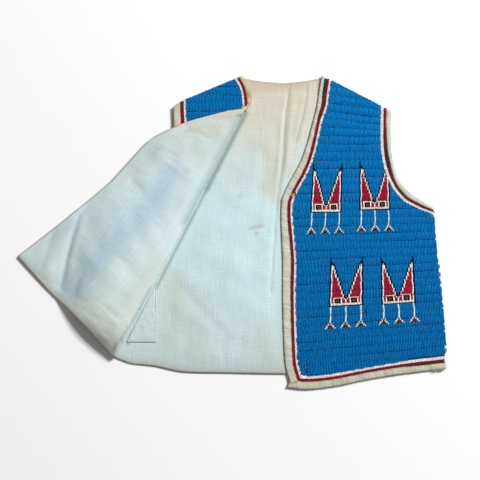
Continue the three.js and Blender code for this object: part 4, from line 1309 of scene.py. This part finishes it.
def layBinding(name, path, widths, kind, replaced, side=1.0, seed=1):
    look = bindingKinds[kind]
    base, foot = look["base"], look["foot"]
    station = np.arange(len(path)) * pathStep
    along = np.column_stack([station, station * 0])
    ripple = 0.4 * softNoise(along, 9, seed) + 0.25 * softNoise(along, 23, seed + 1)
    widths = np.broadcast_to(widths, station.shape) * (1 + 0.03 * softNoise(along, 30, seed + 2))
    section = [
        (-0.5, foot), (-1.35, foot + 0.5), (-1.5, base - 0.6), (-1.1, base + 0.5), (0.2, base + 1.25),
        (0.12, base + 1.5), (0.32, base + 1.62), (0.55, base + 1.5), (0.8, base + 1.35), (0.94, base + 1.0),
        (1.0, base + 0.45), (0.98, base + 0.05), (0.5, base + 0.02), (-0.45, base + 0.02),
    ]
    rails = []
    for k, (share, z) in enumerate(section):
        byWidth = 4 < k < len(section) - 1
        rail = inset(path, side * share * widths) if byWidth else moved(path, side * share)
        lift = ripple * (1.0 if 4 < k < 11 else 0.35) * (z > foot + 0.6)
        rails.append(np.column_stack([cutTo(rail, look["line"]), z + lift]))
    grid = np.array(rails).transpose(1, 0, 2)
    count, sides = grid.shape[:2]
    index = np.arange(count * sides).reshape(count, sides)
    after = np.roll(index, -1, axis=1)
    skin = np.stack([index[:-1], after[:-1], after[1:], index[1:]], -1).reshape(-1, 4)
    points = np.vstack([grid.reshape(-1, 3), grid[0].mean(0), grid[-1].mean(0)])
    starts = np.stack([np.full(sides, count * sides), after[0], index[0]], 1)
    ends = np.stack([np.full(sides, count * sides + 1), index[-1], after[-1]], 1)
    triangles = outward(points, np.vstack([skin[:, [0, 1, 2]], skin[:, [0, 2, 3]], starts, ends]))
    middle = float(np.mean(widths))
    across = np.array([share * middle if 4 < k < 13 else share for k, (share, _) in enumerate(section)])
    lengthwise, crosswise = np.repeat(station[:, None], sides, 1), np.repeat(across[None], count, 0)
    cloth = np.stack([lengthwise, crosswise], -1).reshape(-1, 2)
    cloth = np.vstack([cloth, cloth[:1], cloth[-1:]])
    light, worn = (np.array(tone(*look[key])) for key in ("light", "worn"))
    soil = np.clip(0.5 + 0.5 * softNoise(points[:, :2], 30, seed + 3), 0, 1)[:, None]
    tints = light * (1 - 0.6 * soil) + worn * 0.6 * soil
    tints = shaded(tints, 0.5 * ease(-60, 10, -points[:, 1]), (184, 176, 152))
    # A darker line near the inner edge: thread colour and painted shade where the binding meets the beads.
    tints = shaded(tints, 0.3 * np.exp(-(((cloth[:, 1] - middle * 0.92) / 0.8) ** 2)), (120, 96, 66))
    # Painted shade on the binding's outer turned edge.
    tints = shaded(tints, 0.6 * np.exp(-(((cloth[:, 1] + 1.1) / 0.7) ** 2)), (104, 84, 58))
    piece = addPiece(name, points, triangles, "bindingCloth", "binding", (replaced,), cloth, tints)


def dressBindings():
    widths = frontBorder["binding"][:-1]
    layBinding("frontBinding", frontPath[:-1], widths, "front", "left_front_binding", seed=51)
    start = 4  # clear of the side's beads
    widths = armBorder["binding"][start:]
    layBinding("armholeBinding", armPath[start:], widths, "front", "left_armhole_binding", seed=61)
    widths = yokeArmBorder["binding"]
    layBinding("yokeArmholeBinding", yokeArm, widths, "yokeArm", "right_armhole_binding", seed=71)
    widths = np.clip(awayFrom(yokeNeck, neckRows)[0] + 0.4, 2.6, 12)
    layBinding("yokeNeckBinding", yokeNeck, widths, "yokeNeck", "right_neck_binding", -1.0, seed=81)


# The shoulder's field above the fold.
yokeField = {
    "neckInset": -7.3, "armInset": 18.9, "lowest": 382,
    "shoulder": [(-155, 440), (-120, 454.7), (-72, 474.6)],
    "fold": ([8, 34, 72, 76], [5, 10, 30, 70]), "spans": ((-162, -48), (366, 484)),
    "ground": (5.5, 6.2), "base": 6.2, "arch": 1.0, "flat": (0.11, 0.11), "shadeLevel": 180,
}


def dressYoke():
    look = yokeField
    neck = moved(neckRows, look["neckInset"])
    neck = neck[below(neck, yokeShoulder) > 0]
    arm = inset(yokeArm, look["armInset"])
    arm = arm[(arm[:, 1] > look["lowest"]) & (below(arm, yokeShoulder) > 0)]
    outline = np.vstack([neck, fromFold(*look["fold"]), arm[::-1], look["shoulder"]])
    names = "ground", "blue_beads", "right_yoke_beadwork"
    layFlat("yokeBeadGround", outline, *look["ground"], *names, look["flat"], "flapHide")
    centres, axes = laneBeads(*look["spans"], outline, look["base"], look["arch"])[:2]
    names = np.full(len(centres), "blue", dtype="<U8")
    shades = beadShades(names, np.full(len(centres), look["shadeLevel"]))
    layBeads("yokeFieldBeads", centres, axes, shades, "blue_beads")
    print("yokeFieldBeads", len(centres))


# Stitches, each a short length of thread.
stitchLook = {"length": 2.0, "thickness": 0.55}


def stitchRun(path, spacing, height, slant=0.25):
    gaps = np.concatenate([[0], np.cumsum(np.linalg.norm(np.diff(path, axis=0), axis=1))])
    places = np.arange(spacing, gaps[-1], spacing)
    spots = np.stack([np.interp(places, gaps, path[:, k]) for k in range(2)], 1)
    way = np.stack([np.interp(places + 0.5, gaps, path[:, k]) for k in range(2)], 1) - spots
    way = way / np.maximum(np.linalg.norm(way, axis=1), 1e-6)[:, None]
    side = np.stack([-way[:, 1], way[:, 0]], 1)
    axes = way + side * slant * rng.normal(1, 0.4, len(way))[:, None]
    keep = below(spots, leftShoulder) > 1
    centres = np.column_stack([spots, np.full(len(spots), height)])
    return centres[keep], np.column_stack([axes, np.zeros(len(way))])[keep]


def sewStitches():
    lining = heights["lining"]
    runs = [
        stitchRun(inset(frontPath, frontBorder["binding"] - 1.2), 4.2, 5.5),
        stitchRun(inset(armPath, armBorder["binding"] - 1.2), 4.2, 5.4),
        stitchRun(np.array([fromPhoto(157.3, 345), fromPhoto(157, 366)], float), 4.4, lining + 0.1, 0.05),
        stitchRun(np.array([[-201.8, 152], [-201.8, 54]], float), 4.4, lining + 0.95, 0.05),
        stitchRun(np.array([[-246, 53.5], [-202, 53.5]], float), 4.0, lining + 1.0, 0.05),
    ]
    centres, axes = (np.vstack(group) for group in zip(*runs))
    size = stitchLook["thickness"], stitchLook["length"]
    layBeads("stitches", centres, axes, None, "binding", (), *size, finish="thread", loose=0.12)


# Frayed threads where the binding has worn through at the hem.
frayLook = {
    "count": 90, "thickness": 0.5, "length": 4.4,
    "corner": (258.5, 11.4), "reach": (18, 2.4), "lean": (-0.9, 0.8), "height": 3.4,
}


def frayHem():
    look = frayLook
    count = look["count"]
    (x, y), (reachX, reachY) = look["corner"], look["reach"]
    ends = rng.random(count)
    spots = np.column_stack([x - reachX * ends**1.6, y - reachY * ends**1.6 - rng.random(count) * 2.0])
    angles = rng.normal(*look["lean"], count)
    axes = np.column_stack([np.cos(angles), np.sin(angles), rng.normal(0.05, 0.1, count)])
    centres = np.column_stack([spots, look["height"] + rng.random(count) * 2.2])
    size = look["thickness"], look["length"]
    layBeads("frayedThreads", centres, axes, None, "binding", (), *size, finish="thread", loose=0.25)


for node, finish in (("right_side_beadwork", "coveredBeads"), ("back", "backCloth")):
    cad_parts[node].data.materials.clear()
    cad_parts[node].data.materials.append(finishes[finish])

dressBack()
dressPatch()
dressFlap()
print("linings laid")
layHide()
dressBindings()
dressLeftFront()
dressBorders()
dressYoke()
print("beads laid")
sewStitches()
frayHem()
print("stitches sewn")

# Floor, lights and camera.
studio = {
    "floor": tone(251, 251, 251), "floorWorn": tone(244, 245, 245),
    "keyPower": 545.0, "keySize": 1.7, "keyPlace": (3.8, 3.2, 4.4),
    "sky": 0.2,
    "lens": 85.0, "viewWidth": 0.768, "middle": (0.0130, -0.0119),
}
bpy.context.scene.view_settings.view_transform = "Standard"
bpy.ops.mesh.primitive_plane_add(size=9, location=(0, 0, -0.0004))
floor = bpy.context.object
floor.name = "studioFloor"
floorFinish = Finish("paleFloor", {"Roughness": 0.9, "Specular IOR Level": 0.1})
speck = floorFinish.noise(floorFinish.place(), 3.0, 3.0)
floorShade = floorFinish.mix(speck * 0.1, solid(studio["floor"]), solid(studio["floorWorn"]))
floorFinish.surface(Base_Color=floorShade)
floor.data.materials.append(floorFinish.material)


def addLight(name, power, size, place, aim=(0, 0, 0)):
    light = bpy.data.lights.new(name, "AREA")
    light.energy = power
    light.size = size
    lamp = bpy.data.objects.new(name, light)
    lamp.location = place
    lamp.rotation_euler = (Vector(aim) - Vector(place)).to_track_quat("-Z", "Y").to_euler()
    bpy.context.scene.collection.objects.link(lamp)


addLight("keyLight", studio["keyPower"], studio["keySize"], studio["keyPlace"])
world = bpy.data.worlds.new("studioAir")
world.use_nodes = True
world.node_tree.nodes["Background"].inputs["Color"].default_value = (1.0, 1.0, 1.0, 1.0)
world.node_tree.nodes["Background"].inputs["Strength"].default_value = studio["sky"]
bpy.context.scene.world = world

camera = bpy.data.cameras.new("camera")
camera.lens = studio["lens"]
camera.sensor_width = 36.0
camera.clip_start = 0.1
camera.clip_end = 50
eye = bpy.data.objects.new("camera", camera)
eye.location = (*studio["middle"], studio["viewWidth"] * studio["lens"] / 36.0)
eye.rotation_euler = (0, 0, 0)
bpy.context.scene.collection.objects.link(eye)
bpy.context.scene.camera = eye
